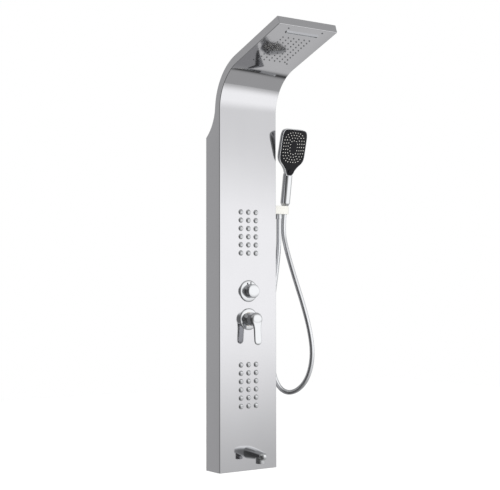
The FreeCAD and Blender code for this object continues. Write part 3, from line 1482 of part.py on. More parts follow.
def handset_frame():
    """The shower face's frame inside the handset's frame."""
    base = FreeCAD.Vector(0, -value("face_forward"), value("face_start"))
    return FreeCAD.Placement(base, FreeCAD.Rotation(FreeCAD.Vector(1, 0, 0), value("face_lean")))


def face_outline(inset):
    """The paddle shape of the handset's head, drawn in by a margin all round."""
    inset = f"({inset})"
    half = f"face_half_width - {inset}"
    top = f"face_height - {inset}"
    corner = f"face_corner - {inset}"
    return [
        (f"-handle_radius + {inset}*1.5", f"-handle_radius/2 + {inset}*1.2"),
        (f"-face_half_width*0.62 + {inset}", f"face_height*0.16 + {inset}*0.4", "face_corner*1.7", "right"),
        (f"-({half})", "face_height*0.36"),
        (f"-({half})", f"{top} - ({corner})", corner, "right"),
        (f"-({half}) + {corner}", top),
        (f"{half} - ({corner})", top, corner, "right"),
        (half, f"{top} - ({corner})"),
        (half, "face_height*0.36", "face_corner*1.7", "right"),
        (f"face_half_width*0.62 - {inset}", f"face_height*0.16 + {inset}*0.4"),
        (f"handle_radius - {inset}*1.5", f"-handle_radius/2 + {inset}*1.2"),
    ]


def face_slab(name, inset, near, far):
    """The paddle shape between two depths behind the face plane, in the handset's frame."""
    body = new_body(name)
    thick(body, name + "_pad", "XZ_Plane", face_outline(inset), f"({far}) - ({near})")
    middle = value(f"(({far}) + ({near}))/2")
    body.Placement = handset_frame() * FreeCAD.Placement(FreeCAD.Vector(0, middle, 0), FreeCAD.Rotation())
    return body


def in_face(item):
    """Move a tool from the face's frame into the handset's."""
    item.Placement = handset_frame().multiply(item.Placement)
    return item


def handset():
    """The handset: a round handle with a flat head, its face, the mat behind it and the button."""
    corners = [
        ("0", "tail_end"),
        ("tail_radius", "tail_end"),
        ("tail_radius", "cone_top + swivel_gap"),
        ("cone_top_radius", "cone_top + swivel_gap"),
        ("handle_radius", "handle_chamfer_end"),
        ("handle_radius", "handle_end"),
        ("0", "handle_end"),
    ]
    handle = turned("handle_turn", corners, plane="XZ_Plane")
    head = face_slab("handset_head", "0", "0", "head_thickness")
    side = 2 * value("handle_radius")
    front = Part.makeBox(2 * side, side, 2 * side, FreeCAD.Vector(-side, -side, -side))
    trim = in_face(shaped("handle_trim", front))
    depth = "face_recess + face_plate + spray_mat"
    recess = face_slab("face_recess_tool", "face_rim", f"-({depth})", depth)
    radius = value("button_radius + button_play")
    spot = FreeCAD.Vector(0, -value("button_proud"), value("button_height"))
    well = Part.makeCylinder(radius, value("button_proud + button_well"), spot, FreeCAD.Vector(0, 1, 0))
    well_tool = in_face(shaped("button_well_tool", well))
    stub = cut("handle_cut", handle, trim)
    in_hand(cut("handset_whole", fuse("handset_solid", stub, head), recess, well_tool), "handset_shell")
    inner = "face_rim + face_play"
    plate = face_slab("face_plate_slab", inner, "face_recess", "face_recess + face_plate")
    hole_plate = in_face(shaped("plate_hole_tool", well.copy()))
    in_hand(cut("face_plate_whole", plate, hole_plate), "handset_face")
    mat = face_slab("spray_mat_slab", inner, "face_recess + face_plate", depth)
    hole_mat = in_face(shaped("mat_hole_tool", well.copy()))
    in_hand(cut("spray_mat_whole", mat, hole_mat), "handset_mat")
    frame = handset_frame()
    inward = frame.Rotation.multVec(FreeCAD.Vector(0, 1, 0))
    length = value("button_proud + button_depth")
    button = Part.makeCylinder(value("button_radius"), length, frame.multVec(spot), inward)
    in_hand(shaped("button", button), "mode_button")


# ---- hose and inner tubes ----------------------------------------------------------------------

def rounded_route(points):
    """A wire of straight runs joined by tangent arcs at the inner points."""
    edges = []
    last = points[0]
    for before, corner, after in zip(points, points[1:], points[2:]):
        back = (before - corner).normalize()
        ahead = (after - corner).normalize()
        half_turn = (math.pi - back.getAngle(ahead)) / 2
        setback = 0.45 * min((before - corner).Length, (after - corner).Length)
        first = corner + back * setback
        second = corner + ahead * setback
        inward = (back + ahead).normalize()
        radius = setback / math.tan(half_turn)
        centre = corner + inward * (radius / math.cos(half_turn))
        middle = centre - inward * radius
        edges.append(Part.LineSegment(last, first).toShape())
        edges.append(Part.Arc(first, middle, second).toShape())
        last = second
    edges.append(Part.LineSegment(last, points[-1]).toShape())
    return Part.Wire(edges)


def pipe_along(points, sides, radius, bore=0):
    """A hose along a route that starts upright, hollow where a bore is given.

    The bore's flat sides touch its radius, and so it clears a round barb.
    """
    route = rounded_route(points)
    corners = flat_ring(radius, sides, points[0])
    solid = route.makePipeShell([Part.makePolygon(corners + corners[:1])], True, True)
    if bore:
        corners = flat_ring(bore / math.cos(math.pi / sides), sides, points[0])
        solid = solid.cut(route.makePipeShell([Part.makePolygon(corners + corners[:1])], True, True))
    return solid


def vectors(*texts):
    """Points from triples of formulas."""
    return [FreeCAD.Vector(*(value(text) for text in triple)) for triple in texts]


def shower_hose():
    """The hand shower's hose, from the outlet's nut to the cone nut."""
    frame = FreeCAD.Placement(
        FreeCAD.Vector(value("socket_across"), -value("socket_from_wall"), value("socket_height")),
        FreeCAD.Rotation(FreeCAD.Vector(1, 0, 0), value("lean")),
    )
    outlet = vectors(("outlet_across", "-socket_from_wall", "outlet_lower"))[0]
    below_outlet = outlet - FreeCAD.Vector(0, 0, value("hose_drop"))
    seat = frame.multVec(FreeCAD.Vector(0, 0, value("-cone_bottom + hose_seat")))
    below_cone = frame.multVec(FreeCAD.Vector(0, 0, value("-cone_bottom + hose_seat - hose_rise")))
    middle = [FreeCAD.Vector(*spot) for spot in HOSE_ROUTE]
    route = [outlet, below_outlet] + middle + [below_cone, seat]
    hung(shaped("hose_pipe", pipe_along(route, HOSE_SIDES, value("hose_radius"))), "shower_hose")


def straight_tube(name, across, along, low, high):
    """A straight inner tube between two barbs."""
    length = f"({high}) - ({low})"
    outer = bar(name + "_outer", "z", "tube_radius", (across, along, low), length)
    inner = bar(name + "_inner", "z", "tube_bore_radius", (across, along, low), length)
    hung(cut(name + "_whole", outer, inner), name)


def inner_tubes():
    """The tubes from the valve body to the jets, the spout, the handset and the head."""
    top = "diverter_height + port_block_height"
    bottom = "mixer_height - port_block_height"
    front = "-front_port_from_wall"
    back = "-port_from_wall"
    upper_box = "upper_jet_centre - manifold_half_height"
    lower_box = "lower_jet_centre + manifold_half_height"
    straight_tube("upper_jet_tube", "-port_across", front, top, upper_box)
    straight_tube("lower_jet_tube", "-port_across", front, lower_box, bottom)
    straight_tube("spout_tube", "0", back, "spout_height + elbow_radius", bottom)
    outside = value("tube_radius")
    inside = value("tube_bore_radius")
    barb_low = "outlet_height - connector_body_radius"
    route = vectors(
        ("port_across", front, top),
        ("port_across", front, f"{top} + 24"),
        ("connector_barb_across", "-socket_from_wall", f"{top} + 90"),
        ("connector_barb_across", "-socket_from_wall", barb_low),
    )
    hung(shaped("hand_pipe", pipe_along(route, TUBE_SIDES, outside, inside)), "handset_tube")
    bend = "bend_radius + " + BARB_RISE
    corner_drop = f"({bend})*tan(bend_angle/2)"
    for name, side in (("rain_tube", ""), ("waterfall_tube", "-")):
        across = f"{side}{BARB_ACROSS}"
        barb = head_point("chamber_end", BARB_RISE)
        route = vectors(
            (f"{side}port_across", back, top),
            (f"{side}port_across", back, f"{top} + 70"),
            (across, back, f"{top} + 160"),
            (across, back, "shoulder - 70"),
            (across, f"-depth + {BARB_RISE}", "bend_start - 60"),
            (across, f"-depth + {BARB_RISE}", f"bend_start + {corner_drop}"),
            (across, barb[0], barb[1]),
        )
        hung(shaped(name + "_pipe", pipe_along(route, TUBE_SIDES, outside, inside)), name)


# ---- build -------------------------------------------------------------------------------------

def faults(item):
    """Name what is wrong with a built object, or return an empty string."""
    if "Invalid" in item.State or "Error" in item.State:
        return "did not recompute"
    if item.Shape.isNull():
        return "has no shape"
    if not item.Shape.isValid():
        return "is not valid"
    if not item.Shape.Solids:
        return "has no solid"
    return ""


def build_all():
    """Make every node."""
    column_shell()
    hanging_pins()
    wall_bracket("upper_bracket", "hang_height")
    wall_bracket("lower_bracket", "lower_hang")
    head_chamber()
    rain_nozzles()
    waterfall_lip()
    head_screws()
    jet_groups()
    jet_manifold("upper_manifold", "upper_jet_centre", "-")
    jet_manifold("lower_manifold", "lower_jet_centre", "+")
    valve_body()
    valve_rings()
    cartridge("mixer_cartridge", "mixer_height")
    cartridge("diverter_cartridge", "diverter_height")
    escutcheon("mixer_escutcheon", "mixer_height")
    escutcheon("diverter_escutcheon", "diverter_height")
    cartridge_cover()
    lever_carrier()
    lever_stem()
    lever_handle()
    diverter_knob()
    spout()
    spout_elbow()
    hand_holder()
    outlet_connector()
    hose_nut()
    cone_nut()
    handset()
    shower_hose()
    inner_tubes()


build_all()
document.recompute()
broken = []
for item in document.Objects:
    if "Invalid" in item.State or "Error" in item.State:
        broken.append(f"{item.Label} did not recompute")
for item in NODES:
    if faults(item):
        broken.append(f"{item.Label} {faults(item)}")
if broken:
    raise RuntimeError("; ".join(broken))

os.makedirs("parts", exist_ok=True)
for item in NODES:
    item.Shape.exportStep(f"parts/{item.Label}.step")
    bounds = item.Shape.BoundBox
    print(
        f"{item.Label}: {len(item.Shape.Solids)} solids, x {bounds.XMin:.1f} to {bounds.XMax:.1f},"
        f" y {bounds.YMin:.1f} to {bounds.YMax:.1f}, z {bounds.ZMin:.1f} to {bounds.ZMax:.1f}"
    )
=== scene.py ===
"""A wall-hung shower column with a rain head, body jets, two valves and a hand shower.

Sizes are in millimetres with heights from the column's lower edge, as in the part's own sheet. A
piece is turned into metres, with z = 0 on the upper bracket's screw line, when its mesh is made.
"""

import json
import logging
import math
from dataclasses import dataclass
from enum import Enum
from typing import Sequence

import bmesh
import bpy
from mathutils import Matrix, Vector

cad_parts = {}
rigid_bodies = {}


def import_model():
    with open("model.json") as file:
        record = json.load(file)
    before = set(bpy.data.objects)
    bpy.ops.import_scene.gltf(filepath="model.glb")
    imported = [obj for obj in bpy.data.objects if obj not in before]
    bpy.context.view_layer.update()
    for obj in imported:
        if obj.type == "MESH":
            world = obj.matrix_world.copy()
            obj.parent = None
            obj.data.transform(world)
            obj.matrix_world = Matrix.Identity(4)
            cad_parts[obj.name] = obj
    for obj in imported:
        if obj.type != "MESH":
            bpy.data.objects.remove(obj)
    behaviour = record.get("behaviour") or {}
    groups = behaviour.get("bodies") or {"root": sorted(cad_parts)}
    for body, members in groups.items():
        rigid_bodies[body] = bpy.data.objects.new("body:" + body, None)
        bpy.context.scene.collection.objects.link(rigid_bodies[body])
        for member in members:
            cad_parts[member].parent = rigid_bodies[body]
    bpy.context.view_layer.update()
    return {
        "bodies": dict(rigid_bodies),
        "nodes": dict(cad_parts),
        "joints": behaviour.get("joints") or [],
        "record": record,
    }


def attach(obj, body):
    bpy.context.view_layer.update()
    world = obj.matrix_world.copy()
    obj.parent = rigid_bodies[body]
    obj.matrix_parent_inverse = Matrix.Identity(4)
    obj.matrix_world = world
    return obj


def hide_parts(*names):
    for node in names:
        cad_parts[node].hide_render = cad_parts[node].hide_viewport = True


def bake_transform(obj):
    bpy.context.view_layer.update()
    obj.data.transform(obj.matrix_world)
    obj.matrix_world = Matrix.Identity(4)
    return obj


log = logging.getLogger("shower_column")

MM = 0.001
HANG_HEIGHT = 900.0  # the upper bracket's screw line over the column's lower edge
PANEL = -70.0  # Y of the column's front
SHARP = 32.0  # edges sharper than this many degrees stay sharp

Point = tuple[float, float, float]
Spot = tuple[float, float]
Piece = bpy.types.Object
Material = bpy.types.Material
NodeTree = bpy.types.NodeTree


# ---- finishes ----------------------------------------------------------------------------------

class Slot(Enum):
    """Material slots of the record."""

    STEEL = "steel_panel"
    BRACKET = "steel_bracket"
    BRIGHT = "bright_metal"
    BRASS = "brass"
    WHITE = "white_plastic"
    INNER = "inner_plastic"
    BLACK = "black_plastic"
    RUBBER = "nozzle_rubber"
    TUBE = "tube_plastic"
    HOSE = "hose_silver"


@dataclass(frozen=True)
class Finish:
    """How one material looks.

    Attributes:
        colour: Base colour, linear.
        metallic: 1 for bare metal.
        rough: Mean roughness.
        rough_spread: How far the roughness wanders.
        coat: Clear coat.
        specular: Strength of the mirror image on what isn't metal.
        grain: Strength of fine lengthwise streaks.
        mottle: Strength of slow colour change.
    """

    colour: tuple[float, float, float]
    metallic: float = 0.0
    rough: float = 0.4
    rough_spread: float = 0.04
    coat: float = 0.0
    specular: float = 0.5
    grain: float = 0.0
    mottle: float = 0.03


FINISHES: dict[Slot, Finish] = {
    Slot.STEEL: Finish((0.633, 0.632, 0.651), 1.0, 0.075, 0.02, grain=0.03, mottle=0.02),
    Slot.BRACKET: Finish((0.28, 0.285, 0.30), 1.0, 0.38, 0.06),
    Slot.BRIGHT: Finish((0.68, 0.69, 0.705), 1.0, 0.045, 0.015, mottle=0.02),
    Slot.BRASS: Finish((0.72, 0.52, 0.26), 1.0, 0.33, 0.06),
    Slot.WHITE: Finish((0.83, 0.82, 0.77), 0.0, 0.30, 0.03, coat=0.2),
    Slot.INNER: Finish((0.52, 0.53, 0.55), 0.0, 0.45),
    Slot.BLACK: Finish((0.009, 0.009, 0.011), 0.0, 0.14, 0.03, specular=0.12),
    Slot.RUBBER: Finish((0.16, 0.165, 0.17), 0.0, 0.45),
    Slot.TUBE: Finish((0.62, 0.64, 0.66), 0.0, 0.35),
    Slot.HOSE: Finish((0.70, 0.71, 0.73), 1.0, 0.20, 0.03),
}


class Signal:
    """A shader socket with arithmetic, so that a formula reads as one."""

    def __init__(self, tree: NodeTree, socket: bpy.types.NodeSocket) -> None:
        self.tree = tree
        self.socket = socket

    def _math(self, operation: str, *others: "Signal | float") -> "Signal":
        """Return a Math node's result with this signal first."""
        node = self.tree.nodes.new("ShaderNodeMath")
        node.operation = operation
        for index, item in enumerate((self, *others)):
            if isinstance(item, Signal):
                self.tree.links.new(item.socket, node.inputs[index])
            else:
                node.inputs[index].default_value = item
        return Signal(self.tree, node.outputs[0])

    def __add__(self, other: "Signal | float") -> "Signal":
        return self._math("ADD", other)

    def __sub__(self, other: "Signal | float") -> "Signal":
        return self._math("SUBTRACT", other)

    def __mul__(self, other: "Signal | float") -> "Signal":
        return self._math("MULTIPLY", other)

    def rest(self) -> "Signal":
        """Return what is missing to 1."""
        return self * -1.0 + 1.0

    def bell(self, centre: float, width: float) -> "Signal":
        """Return 1 at the centre, falling off as a bell to either side."""
        offset = (self - centre) * (1 / width)
        return (offset * offset * -1.0)._math("EXPONENT")

    def ramp(self, low: float, high: float) -> "Signal":
        """Return 0 below low and 1 above high, with a smooth step between."""
        node = self.tree.nodes.new("ShaderNodeMapRange")
        node.interpolation_type = "SMOOTHSTEP"
        self.tree.links.new(self.socket, node.inputs["Value"])
        node.inputs["From Min"].default_value = low
        node.inputs["From Max"].default_value = high
        return Signal(self.tree, node.outputs["Result"])


def axes(tree: NodeTree, kind: str) -> list[Signal]:
    """Return X, Y and Z of a kind of texture coordinate."""
    coordinates = tree.nodes.new("ShaderNodeTexCoord")
    split = tree.nodes.new("ShaderNodeSeparateXYZ")
    tree.links.new(coordinates.outputs[kind], split.inputs["Vector"])
    return [Signal(tree, split.outputs[name]) for name in "XYZ"]


class Palette:
    """Makes each slot's material once."""

    cloud_scale = (14.0, 14.0, 9.0)
    streak_scale = (420.0, 90.0, 5.0)
    streak_depth = 0.0004

    def __init__(self) -> None:
        self.made: dict[Slot, Material] = {}

    def get(self, slot: Slot) -> Material:
        """Return a slot's procedural material, which is made at its first use."""
        if slot not in self.made:
            self.made[slot] = self._make(slot)
        return self.made[slot]

    def _noise(self, tree: NodeTree, scale: Point, detail: float) -> Signal:
        """Return noise over the piece's own coordinates, stretched by a scale."""
        coordinates = tree.nodes.new("ShaderNodeTexCoord")
        mapping = tree.nodes.new("ShaderNodeMapping")
        mapping.inputs["Scale"].default_value = scale
        noise = tree.nodes.new("ShaderNodeTexNoise")
        noise.inputs["Scale"].default_value = 1.0
        noise.inputs["Detail"].default_value = detail
        tree.links.new(coordinates.outputs["Object"], mapping.inputs["Vector"])
        tree.links.new(mapping.outputs["Vector"], noise.inputs["Vector"])
        return Signal(tree, noise.outputs["Fac"])

    def _make(self, slot: Slot) -> Material:
        """Build one material."""
        finish = FINISHES[slot]
        material = bpy.data.materials.new(slot.value)
        material.use_nodes = True
        tree = material.node_tree
        shader = tree.nodes["Principled BSDF"]
        shader.inputs["Metallic"].default_value = finish.metallic
        shader.inputs["Coat Weight"].default_value = finish.coat
        shader.inputs["Specular IOR Level"].default_value = finish.specular
        slow = self._noise(tree, self.cloud_scale, 2.0)
        mix = tree.nodes.new("ShaderNodeMix")
        mix.data_type = "RGBA"
        dark = tuple(part * (1 - 2 * finish.mottle) for part in finish.colour)
        mix.inputs["A"].default_value = (*dark, 1.0)
        mix.inputs["B"].default_value = (*finish.colour, 1.0)
        tree.links.new(slow.socket, mix.inputs["Factor"])
        tree.links.new(mix.outputs["Result"], shader.inputs["Base Color"])
        fine = self._noise(tree, self.streak_scale, 3.0)
        rough = (fine - 0.5) * (2 * finish.rough_spread) + finish.rough
        tree.links.new(rough.socket, shader.inputs["Roughness"])
        if finish.grain:
            bump = tree.nodes.new("ShaderNodeBump")
            bump.inputs["Strength"].default_value = finish.grain
            bump.inputs["Distance"].default_value = self.streak_depth
            tree.links.new(fine.socket, bump.inputs["Height"])
            tree.links.new(bump.outputs["Normal"], shader.inputs["Normal"])
        return material


# ---- meshes ------------------------------------------------------------------------------------

@dataclass
class Form:
    """A mesh under construction, in millimetres."""

    points: list[Vector]
    faces: list[tuple[int, ...]]

    def add(self, other: "Form") -> "Form":
        """Take another form's faces in and return this form."""
        start = len(self.points)
        self.points.extend(other.points)
        self.faces.extend(tuple(index + start for index in face) for face in other.faces)
        return self

    def moved(self, matrix: Matrix) -> "Form":
        """Return the form carried by a matrix."""
        return Form([matrix @ point for point in self.points], list(self.faces))


def swept(rings: Sequence[Sequence[Vector]]) -> Form:
    """Join closed rings of equal counts into a tube with filled ends."""
    count = len(rings[0])
    form = Form([point for ring in rings for point in ring], [])
    for row in range(len(rings) - 1):
        for index in range(count):
            after = (index + 1) % count
            low = row * count
            form.faces.append((low + index, low + after, low + count + after, low + count + index))
    last = (len(rings) - 1) * count
    form.faces.append(tuple(reversed(range(count))))
    form.faces.append(tuple(last + index for index in range(count)))
    return form


def lathe(profile: Sequence[Spot], sides: int, closed: bool = False) -> Form:
    """Turn a profile of (radius, height) about Z.

    Args:
        profile: From one pole to the other, or a loop where closed.
        sides: Segments round the axis.
        closed: Whether the last corner leads back to the first.
    """
    form = Form([], [])
    for radius, height in profile:
        for index in range(sides):
            turn = 2 * math.pi * index / sides
            form.points.append(Vector((radius * math.cos(turn), radius * math.sin(turn), height)))
    rows = len(profile)
    for row in range(rows if closed else rows - 1):
        low = row * sides
        high = (row + 1) % rows * sides
        for index in range(sides):
            after = (index + 1) % sides
            form.faces.append((low + index, low + after, high + after, high + index))
    return form


def eased(profile: Sequence[tuple[float, ...]]) -> list[Spot]:
    """Return a profile of corners (radius, height) with those of (radius, height, rounding) rounded."""
    steps = 4
    result: list[Spot] = []
    for index, corner in enumerate(profile):
        here = Vector(corner[:2])
        if len(corner) < 3:
            result.append((here.x, here.y))
            continue
        before = (Vector(profile[index - 1][:2]) - here).normalized() * corner[2]
        after = (Vector(profile[(index + 1) % len(profile)][:2]) - here).normalized() * corner[2]
        for step in range(steps + 1):
            share = step / steps
            spot = here + before * (1 - share) ** 2 + after * share**2
            result.append((spot.x, spot.y))
    return result


def arc(radius: float, start: float, sweep: float, steps: int, centre: Spot = (0.0, 0.0)) -> list[Spot]:
    """Return places on an arc with both ends, from a start through a sweep in degrees."""
    turns = [math.radians(start + sweep * step / steps) for step in range(steps + 1)]
    return [(centre[0] + radius * math.cos(turn), centre[1] + radius * math.sin(turn)) for turn in turns]


def squarish(turn: float, power: float) -> Spot:
    """Return the place at a turn on a ring of radius 1 that is squarer the lower the power."""
    x, y = math.cos(turn), math.sin(turn)
    return math.copysign(abs(x) ** power, x), math.copysign(abs(y) ** power, y)


def grid(columns: int, rows: int, across: float, along: float, middle: float = 0.0) -> list[Point]:
    """Return places in columns about X = 0 and rows about a middle, at their pitches."""
    return [
        (across * (column - (columns - 1) / 2), middle + along * (row - (rows - 1) / 2), 0.0)
        for column in range(columns)
        for row in range(rows)
    ]


def block(low: Point, high: Point) -> Form:
    """Return a box between two corners."""
    spots = [(x, y, z) for z in (low[2], high[2]) for y in (low[1], high[1]) for x in (low[0], high[0])]
    faces = [(0, 2, 3, 1), (4, 5, 7, 6), (0, 1, 5, 4), (2, 6, 7, 3), (0, 4, 6, 2), (1, 3, 7, 5)]
    return Form([Vector(spot) for spot in spots], faces)


def smooth_loop(corners: Sequence[Spot]) -> list[Spot]:
    """Return a closed smooth curve through corners."""
    steps = 6
    result: list[Spot] = []
    count = len(corners)
    for index in range(count):
        p0, p1, p2, p3 = (Vector(corners[(index + shift) % count]) for shift in (-1, 0, 1, 2))
        slope = p2 - p0
        square = 2 * p0 - 5 * p1 + 4 * p2 - p3
        cube = 3 * p1 - p0 - 3 * p2 + p3
        for step in range(steps):
            share = step / steps
            spot = 0.5 * (2 * p1 + slope * share + square * share**2 + cube * share**3)
            result.append((spot.x, spot.y))
    return result


def evenly(loop: Sequence[Spot], count: int) -> list[Spot]:
    """Return places at equal distances along a closed loop."""
    spots = [Vector(spot) for spot in loop] + [Vector(loop[0])]
    lengths = [(after - before).length for before, after in zip(spots, spots[1:])]
    result = []
    for index in range(count):
        rest = sum(lengths) * index / count
        row = 0
        while rest > lengths[row]:
            rest -= lengths[row]
            row += 1
        spot = spots[row].lerp(spots[row + 1], rest / lengths[row])
        result.append((spot.x, spot.y))
    return result


def placed(name: str, data: bpy.types.ID) -> Piece:
    """Make an object of a mesh, curve, camera or light, and link it to the scene."""
    piece = bpy.data.objects.new(name, data)
    bpy.context.scene.collection.objects.link(piece)
    return piece


def as_object(name: str, form: Form, material: Material, crease: float = SHARP) -> Piece:
    """Make an object of a form, in metres and with closed outward faces."""
    mesh = bpy.data.meshes.new(name)
    points = [(p.x * MM, p.y * MM, (p.z - HANG_HEIGHT) * MM) for p in form.points]
    mesh.from_pydata(points, [], form.faces)
    tidy_mesh(mesh, crease)
    mesh.materials.append(material)
    return placed(name, mesh)


def tidy_mesh(mesh: bpy.types.Mesh, crease: float) -> None:
    """Merge doubled points, turn faces outward and set smooth shading."""
    work = bmesh.new()
    work.from_mesh(mesh)
    bmesh.ops.remove_doubles(work, verts=work.verts, dist=2e-6)
    bmesh.ops.dissolve_degenerate(work, edges=work.edges, dist=1e-7)
    bmesh.ops.recalc_face_normals(work, faces=work.faces)
    limit = math.radians(crease)
    for face in work.faces:
        face.smooth = True
    for edge in work.edges:
        edge.smooth = len(edge.link_faces) == 2 and edge.calc_face_angle(0.0) < limit
    work.to_mesh(mesh)
    work.free()


def evaluated(piece: Piece) -> bpy.types.Mesh:
    """Return a new mesh of a piece as its modifiers or its curve's settings make it."""
    bpy.context.view_layer.update()
    graph = bpy.context.evaluated_depsgraph_get()
    return bpy.data.meshes.new_from_object(piece.evaluated_get(graph))


def baked(piece: Piece, crease: float = SHARP) -> Piece:
    """Turn a piece's modifiers into its mesh and return the piece."""
    mesh = evaluated(piece)
    piece.modifiers.clear()
    piece.data = mesh
    tidy_mesh(mesh, crease)
    return piece


def bevelled(piece: Piece, width: float, segments: int = 2) -> Piece:
    """Round a piece's edges of over 30 degrees by a width in millimetres."""
    modifier = piece.modifiers.new("edges", "BEVEL")
    modifier.width = width * MM
    modifier.segments = segments
    modifier.limit_method = "ANGLE"
    modifier.angle_limit = math.radians(30.0)
    return baked(piece, 40.0)


def cut(piece: Piece, *forms: Form) -> None:
    """Cut forms out of a piece."""
    for form in forms:
        tool = as_object("tool", form, piece.data.materials[0])
        modifier = piece.modifiers.new("cut", "BOOLEAN")
        modifier.operation = "DIFFERENCE"
        modifier.solver = "EXACT"
        modifier.object = tool
        baked(piece)
        bpy.data.objects.remove(tool)


# ---- frames of the object ----------------------------------------------------------------------

OUTWARD = Matrix(((1, 0, 0), (0, 0, -1), (0, 1, 0))).to_4x4()  # turns Z out of an upright face
HEAD = Matrix.Translation((0.0, -355.41, 1228.61)) @ Matrix.Rotation(math.radians(-20), 4, "X")
HANDSET = Matrix.Translation((150.5, -44.4, 756.25)) @ Matrix.Rotation(math.radians(9), 4, "X")
FACE = HANDSET @ Matrix.Translation((0.0, -9.0, 112.0)) @ Matrix.Rotation(math.radians(5.3), 4, "X")


def on_panel(height: float) -> Matrix:
    """Return the frame on the column's middle line whose Z points out of its front."""
    return Matrix.Translation((0, PANEL, height)) @ OUTWARD


# ---- repeats -----------------------------------------------------------------------------------

class Repeater:
    """Copies a small piece to many places with Geometry Nodes."""

    def __init__(self) -> None:
        self.group = self._build()

    def _build(self) -> NodeTree:
        """Return the node group with its named inputs."""
        group = bpy.data.node_groups.new("repeat_piece", "GeometryNodeTree")
        shape = group.interface
        shape.new_socket("Places", in_out="INPUT", socket_type="NodeSocketGeometry")
        shape.new_socket("Piece", in_out="INPUT", socket_type="NodeSocketObject")
        shape.new_socket("Finish", in_out="INPUT", socket_type="NodeSocketMaterial")
        shape.new_socket("Copies", in_out="OUTPUT", socket_type="NodeSocketGeometry")
        nodes, links = group.nodes, group.links
        start = nodes.new("NodeGroupInput")
        info = nodes.new("GeometryNodeObjectInfo")
        place = nodes.new("GeometryNodeInstanceOnPoints")
        real = nodes.new("GeometryNodeRealizeInstances")
        paint = nodes.new("GeometryNodeSetMaterial")
        end = nodes.new("NodeGroupOutput")
        links.new(start.outputs["Piece"], info.inputs["Object"])
        links.new(start.outputs["Places"], place.inputs["Points"])
        links.new(info.outputs["Geometry"], place.inputs["Instance"])
        links.new(place.outputs["Instances"], real.inputs["Geometry"])
        links.new(real.outputs["Geometry"], paint.inputs["Geometry"])
        links.new(start.outputs["Finish"], paint.inputs["Material"])
        links.new(paint.outputs["Geometry"], end.inputs["Copies"])
        return group

    def make(
        self,
        name: str,
        form: Form,
        frame: Matrix,
        places: Sequence[Point],
        material: Material,
        crease: float,
    ) -> Piece:
        """Copy a form to places of a frame, and return one object that holds all copies.

        Args:
            name: The new object's name.
            form: One copy, about the frame's own origin.
            frame: The frame of the places, whose turn the copies share.
            places: Where the copies go, in the frame.
            material: The copies' material.
            crease: Edges sharper than this many degrees stay sharp.
        """
        turn = frame.to_3x3().to_4x4()
        lifted = form.moved(turn)
        for point in lifted.points:
            point.z += HANG_HEIGHT
        master = as_object(name + "_one", lifted, material, crease)
        spots = Form([frame @ Vector(place) for place in places], [])
        holder = as_object(name, spots, material)
        modifier = holder.modifiers.new("copies", "NODES")
        modifier.node_group = self.group
        inputs = {"Piece": master, "Finish": material}
        for item in self.group.interface.items_tree:
            if item.name in inputs:
                modifier[item.identifier] = inputs[item.name]
        baked(holder, crease)
        bpy.data.objects.remove(master)
        return holder


# ---- the sub-assemblies ------------------------------------------------------------------------

class Assembly:
    """What the sub-assemblies share: the palette and the repeater."""

    def __init__(self, palette: Palette, repeater: Repeater) -> None:
        self.palette = palette
        self.repeater = repeater

    def hand_in(self, piece: Piece, slot: Slot, body: str, *nodes: str) -> None:
        """Put a piece on its body, and let it stand for CAD nodes, which are hidden."""
        if nodes:
            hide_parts(*nodes)
        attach(piece, body)

    def solid(
        self, name: str, form: Form, slot: Slot, body: str, *nodes: str, crease: float = SHARP
    ) -> None:
        """Make and hand in a piece in one go."""
        piece = as_object(name, form, self.palette.get(slot), crease)
        self.hand_in(piece, slot, body, *nodes)

    def copies(
        self,
        name: str,
        form: Form,
        at: tuple[Matrix, Sequence[Point]],
        slot: Slot,
        crease: float,
        body: str,
        *nodes: str,
    ) -> None:
        """Make and hand in copies of a form at a frame's places."""
        piece = self.repeater.make(name, form, *at, self.palette.get(slot), crease)
        self.hand_in(piece, slot, body, *nodes)


@dataclass(frozen=True)
class SheetSizes:
    """The folded sheet of the column, in millimetres and degrees, and how finely it bends."""

    half_width: float = 100.0
    depth: float = -PANEL
    thickness: float = 1.2
    fold: float = 1.7
    bend_start: float = 1033.0
    bend_radius: float = 131.0
    bend_angle: float = 70.0
    head_length: float = 212.0
    flange: float = 23.5
    shoulder: float = 960.0
    sweep_y: float = 70.7
    sweep_z: float = 1054.4
    sweep_radius: float = 118.0
    return_width: float = 10.0
    lip: float = 25.0
    rim_half: float = 98.2
    rim_gap: float = 0.3
    bend_steps: int = 40
    wall_steps: int = 3
    head_steps: int = 8


